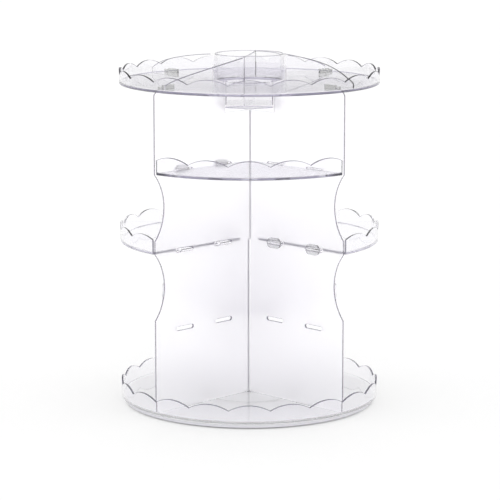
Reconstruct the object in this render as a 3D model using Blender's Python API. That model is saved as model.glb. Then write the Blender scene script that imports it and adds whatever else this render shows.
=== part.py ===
"""Rotating makeup organizer: scalloped trays and shelves on two crossed boards, over a ring of balls.

Lengths are in metres and +Z is up. The origin is on the turning axis, level with the undersides of the
foot pads, and the front is -Y. An azimuth is an angle in degrees from the front towards +X.
"""
import math

import bmesh
import bpy
from mathutils import Matrix, Vector

MM = 0.001

# Gap left between two pieces that touch
SEAT_GAP = 0.3 * MM

# Scalloped trays
TRAY_RADIUS = 115.0 * MM
RIM_WALL = 1.8 * MM
FLOOR_THICKNESS = 2.0 * MM
TRAY_EDGE_CHAMFER = 1.2 * MM
SCALLOP_COUNT = 20
SCALLOP_STEPS = 8
SCALLOP_RISE = 4.9 * MM
BASE_RIM_HEIGHT = 11.7 * MM
SHELF_RIM_HEIGHT = 11.5 * MM
TOP_RIM_HEIGHT = 8.9 * MM

# Foot under the turning part
PAD_COUNT = 4
PAD_RADIUS = 7.0 * MM
PAD_HEIGHT = 1.6 * MM
PAD_RING_RADIUS = 95.0 * MM
PAD_POCKET_DEPTH = 0.7 * MM
FOOT_RADIUS = 111.0 * MM
FOOT_THICKNESS = 2.0 * MM
FOOT_EDGE_CHAMFER = 0.6 * MM
FOOT_DISH_RADIUS = 13.0 * MM
FOOT_DISH_SLOPE = 1.4 * MM
FOOT_HUB_THICKNESS = 1.3 * MM

# Ball ring between the foot and the base tray
RUNNING_SPACE = 1.8 * MM
BALL_COUNT = 12
BALL_RADIUS = 1.5 * MM
BALL_RING_RADIUS = 42.0 * MM
CAGE_WIDTH = 7.0 * MM

# Centre pivot
HUB_BOSS_RADIUS = 5.5 * MM
BUSH_WALL = 1.2 * MM
BUSH_FLANGE_THICKNESS = 0.5 * MM
BUSH_FLANGE_RADIUS = 10.0 * MM
WASHER_RADIUS = 11.0 * MM
WASHER_THICKNESS = 0.8 * MM
SCREW_RADIUS = 1.5 * MM
SCREW_HEAD_RADIUS = 3.6 * MM
SCREW_HEAD_HEIGHT = 0.9 * MM
HUB_SKIN = 0.6 * MM

# Heights of the three shelf levels, taken at the undersides of the shelves
FIRST_LEVEL = 76.8 * MM
LEVEL_PITCH = 69.4 * MM
LEVEL_COUNT = 3
TOP_BAY = 70.6 * MM

# Crossed boards
BOARD_AZIMUTH = 45.0
BOARD_THICKNESS = 2.0 * MM
BOARD_INSET = 0.5 * MM
BOARD_CORNER = 3.0 * MM
WAIST_DEPTH = 10.8 * MM
WAIST_STEPS = 12
CORNER_STEPS = 4
FOOT_TAB_RADIUS = 60.0 * MM
FOOT_TAB_LENGTH = 20.0 * MM
TOP_TAB_RADIUS = 91.0 * MM
TOP_TAB_LENGTH = 13.0 * MM
TOP_TAB_SLIT = 1.5 * MM
TOP_PRONG_LENGTH = 3.0 * MM
TOP_TAB_STAND = 3.8 * MM
TOP_PRONG_STAND = 2.8 * MM

# Slots in the boards, and the hooks and tongues of the shelves that go through them
SLOT_RADII = (33.0 * MM, 80.0 * MM)
SLOT_LENGTH = 20.0 * MM
SLOT_HEIGHT = 3.5 * MM
SLOT_END_STEPS = 4
TONGUE_WIDTH = 14.0 * MM
TONGUE_DROP = 0.5 * MM
TONGUE_THICKNESS = 2.3 * MM
TONGUE_REACH = 3.0 * MM
TONGUE_ROOT = 3.0 * MM
HOOK_HEAD_WIDTH = 16.0 * MM
HOOK_HEAD_HEIGHT = 9.0 * MM
HOOK_HEAD_THICKNESS = 2.0 * MM
HOOK_HEAD_STEPS = 6

# Quarter shelves
SHELF_SIDE_GAP = 1.8 * MM
SHELF_TIP_RADIUS = 10.0 * MM
# Share of a scallop step that keeps the last point of a rim away from the shelf's end
SHELF_END_SPACE = 0.25

# Brush cup at the middle of the top tray
CUP_RADIUS = 30.8 * MM
CUP_WALL = 1.8 * MM
CUP_FLOOR = 2.0 * MM
CUP_SHOULDER = 1.2 * MM
CUP_ABOVE_TRAY = 23.8 * MM
CUP_BELOW_TRAY = 22.2 * MM
CUP_EDGE = 0.5 * MM
NOTCH_SIDE_GAP = 0.7 * MM
NOTCH_UNDER_GAP = 4.0 * MM
PARTITION_THICKNESS = 1.6 * MM
PARTITION_TOP_GAP = 1.0 * MM

# Divider insert: a collar round the cup with four curved blades that fall away to the rim
COLLAR_WALL = 1.8 * MM
COLLAR_HEIGHT = 13.3 * MM
BLADE_COUNT = 4
BLADE_THICKNESS = 1.6 * MM
BLADE_RIM_AZIMUTH = 51.2
BLADE_SWEEP = 29.2
BLADE_SWEEP_POWER = 1.2
BLADE_INNER_HEIGHT = 22.8 * MM
BLADE_OUTER_HEIGHT = 4.0 * MM
BLADE_FALL_POWER = 1.5
BLADE_CROWN_POWER = 1.3
BLADE_STEPS = 14
# The steps along a blade come closer together towards the rim, where it bends most
BLADE_STEP_POWER = 1.5
BLADE_TANGENT_SPAN = 0.01

QUARTER_COUNT = 4
QUARTER_ANGLE = 360.0 / QUARTER_COUNT
FOOT_ROUND_STEPS = 60
ROUND_STEPS = 48
SMALL_ROUND_STEPS = 24
BALL_HOLE_STEPS = 12
TRACK_ARC_STEPS = 8
SMOOTH_ANGLE = math.radians(30.0)

# Heights that follow from the sizes above, from the ground up
FOOT_UNDERSIDE = PAD_HEIGHT + SEAT_GAP - PAD_POCKET_DEPTH
FOOT_TOP = FOOT_UNDERSIDE + FOOT_THICKNESS
BASE_UNDERSIDE = FOOT_TOP + RUNNING_SPACE
BASE_FLOOR = BASE_UNDERSIDE + FLOOR_THICKNESS
BALL_HEIGHT = FOOT_TOP + RUNNING_SPACE / 2
HUB_TOP = BASE_UNDERSIDE - BUSH_FLANGE_THICKNESS - 2 * SEAT_GAP
HUB_UNDERSIDE = HUB_TOP - FOOT_HUB_THICKNESS
WASHER_TOP = HUB_UNDERSIDE - SEAT_GAP
WASHER_UNDERSIDE = WASHER_TOP - WASHER_THICKNESS
TOP_UNDERSIDE = FIRST_LEVEL + (LEVEL_COUNT - 1) * LEVEL_PITCH + TOP_BAY
TOP_FLOOR = TOP_UNDERSIDE + FLOOR_THICKNESS
BOARD_BOTTOM = BASE_FLOOR + SEAT_GAP
BOARD_TOP = TOP_UNDERSIDE - SEAT_GAP
HALF_LAP_HEIGHT = (BOARD_BOTTOM + BOARD_TOP) / 2

# Radii and offsets that follow
TRAY_INNER_RADIUS = TRAY_RADIUS - RIM_WALL
TRACK_RADIUS = BALL_RADIUS + SEAT_GAP
BUSH_BORE_RADIUS = HUB_BOSS_RADIUS + SEAT_GAP
BUSH_RADIUS = BUSH_BORE_RADIUS + BUSH_WALL
HUB_BORE_RADIUS = BUSH_RADIUS + SEAT_GAP
BOARD_RADIUS = TRAY_RADIUS - BOARD_INSET
BOARD_FOOT_RADIUS = TRAY_INNER_RADIUS - SEAT_GAP
BOARD_SLOT_WIDTH = BOARD_THICKNESS + 2 * SEAT_GAP
SHELF_SIDE_OFFSET = BOARD_THICKNESS / 2 + SHELF_SIDE_GAP
CUP_LOWER_RADIUS = CUP_RADIUS - CUP_SHOULDER
CUP_HOLE_RADIUS = CUP_LOWER_RADIUS + SEAT_GAP
CUP_SEAT = TOP_FLOOR + SEAT_GAP
CUP_TOP = CUP_SEAT + CUP_ABOVE_TRAY
CUP_BOTTOM = CUP_SEAT - CUP_BELOW_TRAY
NOTCH_RADIUS = CUP_LOWER_RADIUS + NOTCH_SIDE_GAP
NOTCH_BOTTOM = CUP_BOTTOM - NOTCH_UNDER_GAP
COLLAR_BORE_RADIUS = CUP_RADIUS + SEAT_GAP
COLLAR_RADIUS = COLLAR_BORE_RADIUS + COLLAR_WALL
BLADE_END_RADIUS = TRAY_INNER_RADIUS - SEAT_GAP
PARTITION_AZIMUTH = BLADE_RIM_AZIMUTH + BLADE_SWEEP - QUARTER_ANGLE

CLEAR_TINT = (0.87, 0.87, 0.91)
FROSTED_TINT = (0.90, 0.90, 0.93)
WHITE_TINT = (0.88, 0.88, 0.88)
SOFT_TINT = (0.72, 0.72, 0.74)
STEEL_TINT = (0.62, 0.62, 0.64)


def clear_scene():
    for item in list(bpy.data.objects):
        bpy.data.objects.remove(item, do_unlink=True)


def plastic(name, colour, roughness, metallic=0.0, clarity=0.0):
    material = bpy.data.materials.new(name)
    material.use_nodes = True
    shader = material.node_tree.nodes["Principled BSDF"]
    shader.inputs["Base Color"].default_value = (*colour, 1.0)
    shader.inputs["Roughness"].default_value = roughness
    shader.inputs["Metallic"].default_value = metallic
    shader.inputs["Transmission Weight"].default_value = clarity
    return material


def clear_plastic(name):
    return plastic(name, CLEAR_TINT, 0.06, clarity=0.9)


def frosted_plastic(name):
    return plastic(name, FROSTED_TINT, 0.35, clarity=0.6)


def white_plastic(name):
    return plastic(name, WHITE_TINT, 0.45)


def soft_plastic(name):
    return plastic(name, SOFT_TINT, 0.7)


def steel(name):
    return plastic(name, STEEL_TINT, 0.25, metallic=1.0)


def mesh_from(bm, name):
    bmesh.ops.recalc_face_normals(bm, faces=bm.faces[:])
    if bm.calc_volume(signed=True) < 0.0:
        bmesh.ops.reverse_faces(bm, faces=bm.faces[:])
    mesh = bpy.data.meshes.new(name)
    bm.to_mesh(mesh)
    bm.free()
    return mesh


def add_object(name, mesh, material=None):
    item = bpy.data.objects.new(name, mesh)
    bpy.context.collection.objects.link(item)
    if material is not None:
        finish(item, material)
    return item


def combine(target, tool_bm, operation):
    """Cuts the tool out of the target's mesh, or joins it on, and drops the tool."""
    tool = add_object(target.name + "_tool", mesh_from(tool_bm, "tool"))
    modifier = target.modifiers.new("combine", "BOOLEAN")
    modifier.operation = operation
    modifier.solver = "EXACT"
    modifier.object = tool
    evaluated = target.evaluated_get(bpy.context.evaluated_depsgraph_get())
    result = bpy.data.meshes.new_from_object(evaluated)
    target.modifiers.remove(modifier)
    target.data = result
    bpy.data.objects.remove(tool, do_unlink=True)


def finish(item, material):
    item.data.materials.clear()
    item.data.materials.append(material)
    item.data.shade_smooth()
    item.data.set_sharp_from_angle(angle=SMOOTH_ANGLE)
    return item


def on_azimuth(radius, azimuth, height=0.0):
    angle = math.radians(azimuth)
    return Vector((radius * math.sin(angle), -radius * math.cos(angle), height))


def spaced_round(radius, count, first_azimuth, height=0.0):
    """Places at equal angles round the axis."""
    return [on_azimuth(radius, first_azimuth + 360.0 * index / count, height) for index in range(count)]


def arc(centre, radius, start, end, steps):
    """Points of an arc in a plane, angles in degrees, both ends included."""
    points = []
    for step in range(steps + 1):
        angle = math.radians(start + (end - start) * step / steps)
        points.append((centre[0] + radius * math.cos(angle), centre[1] + radius * math.sin(angle)))
    return points


def circle(centre, radius, steps):
    return arc(centre, radius, 0.0, 360.0, steps)[:-1]


def stadium(centre, length, height, end_steps):
    """A flat loop with straight long sides and round ends."""
    corner = height / 2
    straight = length / 2 - corner
    loop = arc((centre[0] + straight, centre[1]), corner, -90.0, 90.0, end_steps)
    return loop + arc((centre[0] - straight, centre[1]), corner, 90.0, 270.0, end_steps)


def turned(bm, profile, steps):
    """Revolves a closed outline of (radius, height) points; the points at radius 0 share one vertex."""
    rings = []
    for radius, height in profile:
        if radius == 0.0:
            rings.append([bm.verts.new((0.0, 0.0, height))] * steps)
        else:
            rings.append([bm.verts.new(place) for place in spaced_round(radius, steps, 0.0, height)])
    on_axis = profile[0][0] == 0.0
    pairs = list(zip(rings, rings[1:]))
    if not on_axis:
        pairs.append((rings[-1], rings[0]))
    for lower, upper in pairs:
        for step in range(steps):
            after = (step + 1) % steps
            corners = [lower[step], lower[after], upper[after], upper[step]]
            bm.faces.new(list(dict.fromkeys(corners)))


def turned_piece(name, profile, material, steps=ROUND_STEPS):
    bm = bmesh.new()
    turned(bm, profile, steps)
    return add_object(name, mesh_from(bm, name), material)


def prism(bm, corners, move):
    """A solid from a flat outline of points, carried along the vector move."""
    near = [bm.verts.new(corner) for corner in corners]
    far = [bm.verts.new(Vector(corner) + move) for corner in corners]
    bm.faces.new(near)
    bm.faces.new(far[::-1])
    for index in range(len(near)):
        after = (index + 1) % len(near)
        bm.faces.new((near[index], far[index], far[after], near[after]))


def radial_box(bm, azimuth, inner, outer, across, low, high):
    """A box along an azimuth, from one radius to another, centred on it across its width."""
    along = on_azimuth(1.0, azimuth)
    side = on_azimuth(1.0, azimuth + QUARTER_ANGLE)
    corners = []
    for radius, offset in ((inner, -0.5), (outer, -0.5), (outer, 0.5), (inner, 0.5)):
        corners.append(along * radius + side * (offset * across) + Vector((0.0, 0.0, low)))
    prism(bm, corners, Vector((0.0, 0.0, high - low)))


def cylinder(bm, centre, radius, low, high, steps):
    corners = [centre + place for place in spaced_round(radius, steps, 0.0, low)]
    prism(bm, corners, Vector((0.0, 0.0, high - low)))


def filled_plate(loops, thickness):
    """A plate in the XZ plane, centred on it: the first loop is its outline and the rest are holes."""
    bm = bmesh.new()
    edges = []
    for loop in loops:
        corners = [bm.verts.new((along, -thickness / 2, height)) for along, height in loop]
        edges += [bm.edges.new(pair) for pair in zip(corners, corners[1:] + corners[:1])]
    bmesh.ops.triangle_fill(bm, use_beauty=True, edges=edges)
    grown = bmesh.ops.extrude_face_region(bm, geom=bm.faces[:])
    moved = [part for part in grown["geom"] if isinstance(part, bmesh.types.BMVert)]
    bmesh.ops.translate(bm, verts=moved, vec=(0.0, thickness, 0.0))
    return bm


# Scalloped trays and shelves

def scallop_height(azimuth):
    """Height of the rim's edge above its cusps: one arc for each scallop, with a peak at the front."""
    pitch = 360.0 / SCALLOP_COUNT
    from_peak = abs((azimuth + pitch / 2) % pitch - pitch / 2)
    half_chord = TRAY_RADIUS * math.sin(math.radians(pitch / 2))
    arc_radius = (half_chord ** 2 + SCALLOP_RISE ** 2) / (2 * SCALLOP_RISE)
    along = TRAY_RADIUS * math.sin(math.radians(from_peak))
    return math.sqrt(arc_radius ** 2 - along ** 2) - (arc_radius - SCALLOP_RISE)


def rim_profile(rim_height):
    """Radius, height and whether it follows the scallops, from the underside out and over the rim."""
    return [
        (TRAY_RADIUS - TRAY_EDGE_CHAMFER, 0.0, False),
        (TRAY_RADIUS, TRAY_EDGE_CHAMFER, False),
        (TRAY_RADIUS, rim_height, True),
        (TRAY_INNER_RADIUS, rim_height, True),
        (TRAY_INNER_RADIUS, FLOOR_THICKNESS, False),
    ]


def rim_rings(bm, rim_height, azimuths_at):
    rings = []
    for radius, height, scalloped in rim_profile(rim_height):
        ring = []
        for azimuth in azimuths_at(radius):
            rise = scallop_height(azimuth) if scalloped else 0.0
            ring.append(bm.verts.new(on_azimuth(radius, azimuth, height + rise)))
        rings.append(ring)
    return rings


def round_tray(name, rim_height, underside):
    """A full round tray with a plain floor."""
    step_angle = 360.0 / SCALLOP_COUNT / SCALLOP_STEPS
    azimuths = [step_angle * step for step in range(SCALLOP_COUNT * SCALLOP_STEPS)]
    bm = bmesh.new()
    rings = rim_rings(bm, rim_height, lambda radius: azimuths)
    for lower, upper in zip(rings, rings[1:]):
        for index in range(len(azimuths)):
            after = (index + 1) % len(azimuths)
            bm.faces.new((lower[index], lower[after], upper[after], upper[index]))
    bm.faces.new(rings[0])
    bm.faces.new(rings[-1])
    bmesh.ops.translate(bm, verts=bm.verts[:], vec=(0.0, 0.0, underside))
    return add_object(name, mesh_from(bm, name))


def shelf_azimuths(radius):
    """Azimuths of a quarter shelf's points on one radius, ending in the flat sides beside the boards."""
    limit = BOARD_AZIMUTH - math.degrees(math.asin(SHELF_SIDE_OFFSET / radius))
    step_angle = 360.0 / SCALLOP_COUNT / SCALLOP_STEPS
    reach = int(BOARD_AZIMUTH / step_angle)
    inner = [step_angle * step for step in range(-reach, reach + 1)]
    last_free = limit - step_angle * SHELF_END_SPACE
    kept = [azimuth for azimuth in inner if abs(azimuth) < last_free]
    return [-limit] + kept + [limit]


def quarter_tray(bm):
    """A quarter shelf about the front azimuth, its underside at height 0."""
    rings = rim_rings(bm, SHELF_RIM_HEIGHT, shelf_azimuths)
    count = len(rings[0])
    for lower, upper in zip(rings, rings[1:]):
        for index in range(count - 1):
            bm.faces.new((lower[index], lower[index + 1], upper[index + 1], upper[index]))
    tip_limit = BOARD_AZIMUTH - math.degrees(math.asin(SHELF_SIDE_OFFSET / SHELF_TIP_RADIUS))
    tip_low = []
    tip_high = []
    for azimuth in (-tip_limit, tip_limit):
        tip_low.append(bm.verts.new(on_azimuth(SHELF_TIP_RADIUS, azimuth, 0.0)))
        tip_high.append(bm.verts.new(on_azimuth(SHELF_TIP_RADIUS, azimuth, FLOOR_THICKNESS)))
    bm.faces.new(rings[0] + tip_low[::-1])
    bm.faces.new(rings[-1] + tip_high[::-1])
    bm.faces.new(tip_low + tip_high[::-1])
    bm.faces.new([ring[0] for ring in rings] + [tip_high[0], tip_low[0]])
    bm.faces.new([ring[-1] for ring in rings] + [tip_high[1], tip_low[1]])


def through_board(bm, side, radius, reach, width, low, high):
    """A flat bar from inside the shelf's floor, out through the board on one side of the shelf."""
    along = on_azimuth(1.0, side * BOARD_AZIMUTH)
    outward = on_azimuth(1.0, side * (BOARD_AZIMUTH + QUARTER_ANGLE))
    start = -SHELF_SIDE_OFFSET - TONGUE_ROOT
    corners = []
    for offset, distance in ((-0.5, start), (0.5, start), (0.5, reach), (-0.5, reach)):
        corners.append(along * (radius + offset * width) + outward * distance + Vector((0.0, 0.0, low)))
    prism(bm, corners, Vector((0.0, 0.0, high - low)))


def hook_head(bm, side, radius, centre_height):
    """The upright oval head that lies against the far face of the board."""
    along = on_azimuth(1.0, side * BOARD_AZIMUTH)
    outward = on_azimuth(1.0, side * (BOARD_AZIMUTH + QUARTER_ANGLE))
    near = BOARD_THICKNESS / 2 + SEAT_GAP
    outline = stadium((radius, centre_height), HOOK_HEAD_WIDTH, HOOK_HEAD_HEIGHT, HOOK_HEAD_STEPS)
    corners = []
    for distance, height in outline:
        corners.append(along * distance + outward * near + Vector((0.0, 0.0, height)))
    prism(bm, corners, outward * HOOK_HEAD_THICKNESS)


def shelf_mesh():
    """The quarter shelf with two hooks on its left side and two tongues on its right side."""
    bm = bmesh.new()
    quarter_tray(bm)
    item = add_object("shelf_blank", mesh_from(bm, "shelf"))
    low = -TONGUE_DROP
    high = low + TONGUE_THICKNESS
    tongue_reach = BOARD_THICKNESS / 2 + TONGUE_REACH
    hook_reach = BOARD_THICKNESS / 2 + SEAT_GAP + HOOK_HEAD_THICKNESS / 2
    for radius in SLOT_RADII:
        tool = bmesh.new()
        through_board(tool, 1, radius, tongue_reach, TONGUE_WIDTH, low, high)
        combine(item, tool, "UNION")
        tool = bmesh.new()
        through_board(tool, -1, radius, hook_reach, TONGUE_WIDTH, low, high)
        combine(item, tool, "UNION")
        tool = bmesh.new()
        hook_head(tool, -1, radius, (low + high) / 2)
        combine(item, tool, "UNION")
    mesh = item.data
    bpy.data.objects.remove(item, do_unlink=True)
    return mesh


def level_height(level):
    return FIRST_LEVEL + level * LEVEL_PITCH


def build_shelves():
    """Four identical shelves: the front one high, the side ones in the middle and the back one low."""
    mesh = shelf_mesh()
    places = (("shelf_front", 2), ("shelf_right", 1), ("shelf_back", 0), ("shelf_left", 1))
    shelves = []
    for quarter, (name, level) in enumerate(places):
        shelf = add_object(name, mesh.copy(), clear_plastic(name))
        shelf.rotation_euler.z = math.radians(QUARTER_ANGLE * quarter)
        shelf.location.z = level_height(level)
        shelves.append(shelf)
    return shelves


def board_azimuths():
    return [BOARD_AZIMUTH + QUARTER_ANGLE * quarter for quarter in range(QUARTER_COUNT)]


def build_base_tray():
    """The lowest tray, with the upper ball track, the hub and the slots for the boards' feet."""
    tray = round_tray("base_tray", BASE_RIM_HEIGHT, BASE_UNDERSIDE)
    hub = bmesh.new()
    inside_floor = BASE_UNDERSIDE + FLOOR_THICKNESS / 2
    cylinder(hub, Vector(), HUB_BOSS_RADIUS, HUB_UNDERSIDE, inside_floor, SMALL_ROUND_STEPS)
    combine(tray, hub, "UNION")
    cuts = bmesh.new()
    hole_radius = SCREW_RADIUS + SEAT_GAP
    hole_top = BASE_FLOOR - HUB_SKIN
    cylinder(cuts, Vector(), hole_radius, HUB_UNDERSIDE - SEAT_GAP, hole_top, SMALL_ROUND_STEPS)
    for azimuth in board_azimuths():
        inner = FOOT_TAB_RADIUS - SEAT_GAP
        outer = FOOT_TAB_RADIUS + FOOT_TAB_LENGTH + SEAT_GAP
        low = BASE_UNDERSIDE - SEAT_GAP
        radial_box(cuts, azimuth, inner, outer, BOARD_SLOT_WIDTH, low, BASE_FLOOR + SEAT_GAP)
    combine(tray, cuts, "DIFFERENCE")
    combine(tray, ball_track(), "DIFFERENCE")
    return finish(tray, clear_plastic("base_tray"))


def build_top_tray():
    """The highest tray, with a hole for the brush cup and slots for the boards' tabs."""
    tray = round_tray("top_tray", TOP_RIM_HEIGHT, TOP_UNDERSIDE)
    cuts = bmesh.new()
    low = TOP_UNDERSIDE - SEAT_GAP
    high = TOP_FLOOR + SEAT_GAP
    cylinder(cuts, Vector(), CUP_HOLE_RADIUS, low, high, ROUND_STEPS)
    for azimuth in board_azimuths():
        inner = TOP_TAB_RADIUS - SEAT_GAP
        outer = TOP_TAB_RADIUS + TOP_TAB_LENGTH + TOP_TAB_SLIT + TOP_PRONG_LENGTH + SEAT_GAP
        radial_box(cuts, azimuth, inner, outer, BOARD_SLOT_WIDTH, low, high)
    combine(tray, cuts, "DIFFERENCE")
    return finish(tray, clear_plastic("top_tray"))


# Crossed boards

def waist(low, high):
    """Points of the hollow in a board's edge between two shelf levels: an arc of the given depth."""
    half_chord = (high - low) / 2
    radius = (half_chord ** 2 + WAIST_DEPTH ** 2) / (2 * WAIST_DEPTH)
    centre = (BOARD_RADIUS - WAIST_DEPTH + radius, (low + high) / 2)
    half_angle = math.degrees(math.asin(half_chord / radius))
    return arc(centre, radius, 180.0 + half_angle, 180.0 - half_angle, WAIST_STEPS)


def board_side():
    """Half of a board's outline, from its foot, round its outer edge, to the cup's notch."""
    edge_azimuth = BOARD_AZIMUTH - math.degrees(math.asin(BOARD_SLOT_WIDTH / 2 / TRAY_RADIUS))
    rim_top = BASE_UNDERSIDE + BASE_RIM_HEIGHT + scallop_height(edge_azimuth) + SEAT_GAP
    foot_end = BASE_UNDERSIDE + SEAT_GAP
    points = [
        (FOOT_TAB_RADIUS, BOARD_BOTTOM),
        (FOOT_TAB_RADIUS, foot_end),
        (FOOT_TAB_RADIUS + FOOT_TAB_LENGTH, foot_end),
        (FOOT_TAB_RADIUS + FOOT_TAB_LENGTH, BOARD_BOTTOM),
        (BOARD_FOOT_RADIUS, BOARD_BOTTOM),
        (BOARD_FOOT_RADIUS, rim_top),
        (BOARD_RADIUS, rim_top),
    ]
    for level in range(LEVEL_COUNT - 1):
        points += waist(level_height(level) + SHELF_RIM_HEIGHT, level_height(level + 1))
    corner_centre = (BOARD_RADIUS - BOARD_CORNER, BOARD_TOP - BOARD_CORNER)
    points += arc(corner_centre, BOARD_CORNER, 0.0, 90.0, CORNER_STEPS)
    tab_end = TOP_TAB_RADIUS + TOP_TAB_LENGTH
    prong_start = tab_end + TOP_TAB_SLIT
    prong_end = prong_start + TOP_PRONG_LENGTH
    points += [
        (prong_end, BOARD_TOP),
        (prong_end, TOP_FLOOR + TOP_PRONG_STAND),
        (prong_start, TOP_FLOOR + TOP_PRONG_STAND),
        (prong_start, BOARD_TOP),
        (tab_end, BOARD_TOP),
        (tab_end, TOP_FLOOR + TOP_TAB_STAND),
        (TOP_TAB_RADIUS, TOP_FLOOR + TOP_TAB_STAND),
        (TOP_TAB_RADIUS, BOARD_TOP),
        (NOTCH_RADIUS, BOARD_TOP),
        (NOTCH_RADIUS, NOTCH_BOTTOM),
    ]
    return points


def shelf_slots():
    """Loops of the slots on both halves of a board, two for each shelf level."""
    loops = []
    for level in range(LEVEL_COUNT):
        middle = level_height(level) - TONGUE_DROP - SEAT_GAP + SLOT_HEIGHT / 2
        for radius in SLOT_RADII:
            for side in (-1, 1):
                loops.append(stadium((side * radius, middle), SLOT_LENGTH, SLOT_HEIGHT, SLOT_END_STEPS))
    return loops


def lap_slot(mouth, end):
    """Points round the half-lap slot, from its mouth on the right side to its mouth on the left."""
    half_slot = BOARD_SLOT_WIDTH / 2
    return [(half_slot, mouth), (half_slot, end), (-half_slot, end), (-half_slot, mouth)]


def build_board(name, azimuth, lap_from_top):
    """One board through the axis. Its half-lap slot is open at the top or at the bottom."""
    right = board_side()
    left = [(-along, height) for along, height in reversed(right)]
    if lap_from_top:
        lap = lap_slot(NOTCH_BOTTOM, HALF_LAP_HEIGHT - SEAT_GAP / 2)
        outline = right + lap + left
    else:
        lap = lap_slot(BOARD_BOTTOM, HALF_LAP_HEIGHT + SEAT_GAP / 2)
        outline = right + left + lap[::-1]
    bm = filled_plate([outline] + shelf_slots(), BOARD_THICKNESS)
    board = add_object(name, mesh_from(bm, name), frosted_plastic(name))
    board.rotation_euler.z = math.radians(azimuth - QUARTER_ANGLE)
    return board


# Top tray fittings

def build_brush_cup():
    """A round cup whose shoulder rests on the top tray and whose foot hangs in the boards' notch."""
    lower_bore = CUP_LOWER_RADIUS - CUP_WALL
    upper_bore = CUP_RADIUS - CUP_WALL
    profile = [
        (0.0, CUP_BOTTOM),
        (CUP_LOWER_RADIUS - CUP_EDGE, CUP_BOTTOM),
        (CUP_LOWER_RADIUS, CUP_BOTTOM + CUP_EDGE),
        (CUP_LOWER_RADIUS, CUP_SEAT),
        (CUP_RADIUS, CUP_SEAT),
        (CUP_RADIUS, CUP_TOP - CUP_EDGE),
        (CUP_RADIUS - CUP_EDGE, CUP_TOP),
        (upper_bore + CUP_EDGE, CUP_TOP),
        (upper_bore, CUP_TOP - CUP_EDGE),
        (upper_bore, CUP_SEAT + CUP_SHOULDER),
        (lower_bore, CUP_SEAT),
        (lower_bore, CUP_BOTTOM + CUP_FLOOR),
        (0.0, CUP_BOTTOM + CUP_FLOOR),
    ]
    return turned_piece("brush_cup", profile, clear_plastic("brush_cup"))


def build_cup_partition():
    """A flat wall that stands in the cup and halves it, in line with two of the blades."""
    lower = CUP_LOWER_RADIUS - CUP_WALL - SEAT_GAP
    upper = CUP_RADIUS - CUP_WALL - SEAT_GAP
    foot = CUP_BOTTOM + CUP_FLOOR + SEAT_GAP
    slope_low = CUP_SEAT + SEAT_GAP
    slope_high = slope_low + CUP_SHOULDER
    top = CUP_TOP - PARTITION_TOP_GAP
    right = [(lower, foot), (lower, slope_low), (upper, slope_high), (upper, top)]
    left = [(-along, height) for along, height in reversed(right)]
    bm = filled_plate([right + left], PARTITION_THICKNESS)
    item = add_object("cup_partition", mesh_from(bm, "cup_partition"), clear_plastic("cup_partition"))
    item.rotation_euler.z = math.radians(PARTITION_AZIMUTH - QUARTER_ANGLE)
    return item


def blade_place(fraction):
    """Radius, azimuth and height of a blade's top, from the collar (0) to the rim (1)."""
    root_radius = COLLAR_BORE_RADIUS + COLLAR_WALL / 2
    radius = root_radius + (BLADE_END_RADIUS - root_radius) * fraction
    azimuth = BLADE_RIM_AZIMUTH + BLADE_SWEEP * (1.0 - fraction) ** BLADE_SWEEP_POWER
    fall = (1.0 - fraction ** BLADE_FALL_POWER) ** (1.0 / BLADE_CROWN_POWER)
    height = BLADE_OUTER_HEIGHT + (BLADE_INNER_HEIGHT - BLADE_OUTER_HEIGHT) * fall
    return radius, azimuth, height


def blade(bm, turn):
    """One curved blade, standing on the tray floor, with an arched top that falls towards the rim."""
    sections = []
    for step in range(BLADE_STEPS + 1):
        fraction = 1.0 - (1.0 - step / BLADE_STEPS) ** BLADE_STEP_POWER
        before = on_azimuth(*blade_place(max(fraction - BLADE_TANGENT_SPAN, 0.0))[:2])
        after = on_azimuth(*blade_place(min(fraction + BLADE_TANGENT_SPAN, 1.0))[:2])
        radius, azimuth, height = blade_place(fraction)
        centre = on_azimuth(radius, azimuth, CUP_SEAT)
        along = (after - before).normalized()
        side = Vector((-along.y, along.x, 0.0)) * (BLADE_THICKNESS / 2)
        up = Vector((0.0, 0.0, height))
        corners = (centre - side, centre + side, centre + side + up, centre - side + up)
        sections.append([bm.verts.new(corner) for corner in corners])
    for near, far in zip(sections, sections[1:]):
        for index in range(len(near)):
            after = (index + 1) % len(near)
            bm.faces.new((near[index], near[after], far[after], far[index]))
    bm.faces.new(sections[0])
    bm.faces.new(sections[-1])
    spin = Matrix.Rotation(math.radians(turn), 3, "Z")
    bmesh.ops.rotate(bm, verts=bm.verts[:], cent=(0.0, 0.0, 0.0), matrix=spin)


def build_top_divider():
    """The collar round the cup, with four blades that curve out to the rim like a pinwheel."""
    bm = bmesh.new()
    profile = [
        (COLLAR_BORE_RADIUS, CUP_SEAT),
        (COLLAR_RADIUS, CUP_SEAT),
        (COLLAR_RADIUS, CUP_SEAT + COLLAR_HEIGHT),
        (COLLAR_BORE_RADIUS, CUP_SEAT + COLLAR_HEIGHT),
    ]
    turned(bm, profile, ROUND_STEPS)
    item = add_object("top_divider", mesh_from(bm, "top_divider"))
    for index in range(BLADE_COUNT):
        tool = bmesh.new()
        blade(tool, 360.0 * index / BLADE_COUNT)
        combine(item, tool, "UNION")
    return finish(item, clear_plastic("top_divider"))


# Foot and bearing

def ball_track():
    """A ring with a ball's roundness and clearance, which cuts the tracks in the foot and the base tray."""
    bm = bmesh.new()
    section = circle((BALL_RING_RADIUS, BALL_HEIGHT), TRACK_RADIUS, TRACK_ARC_STEPS)
    turned(bm, section, ROUND_STEPS)
    return bm


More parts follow.
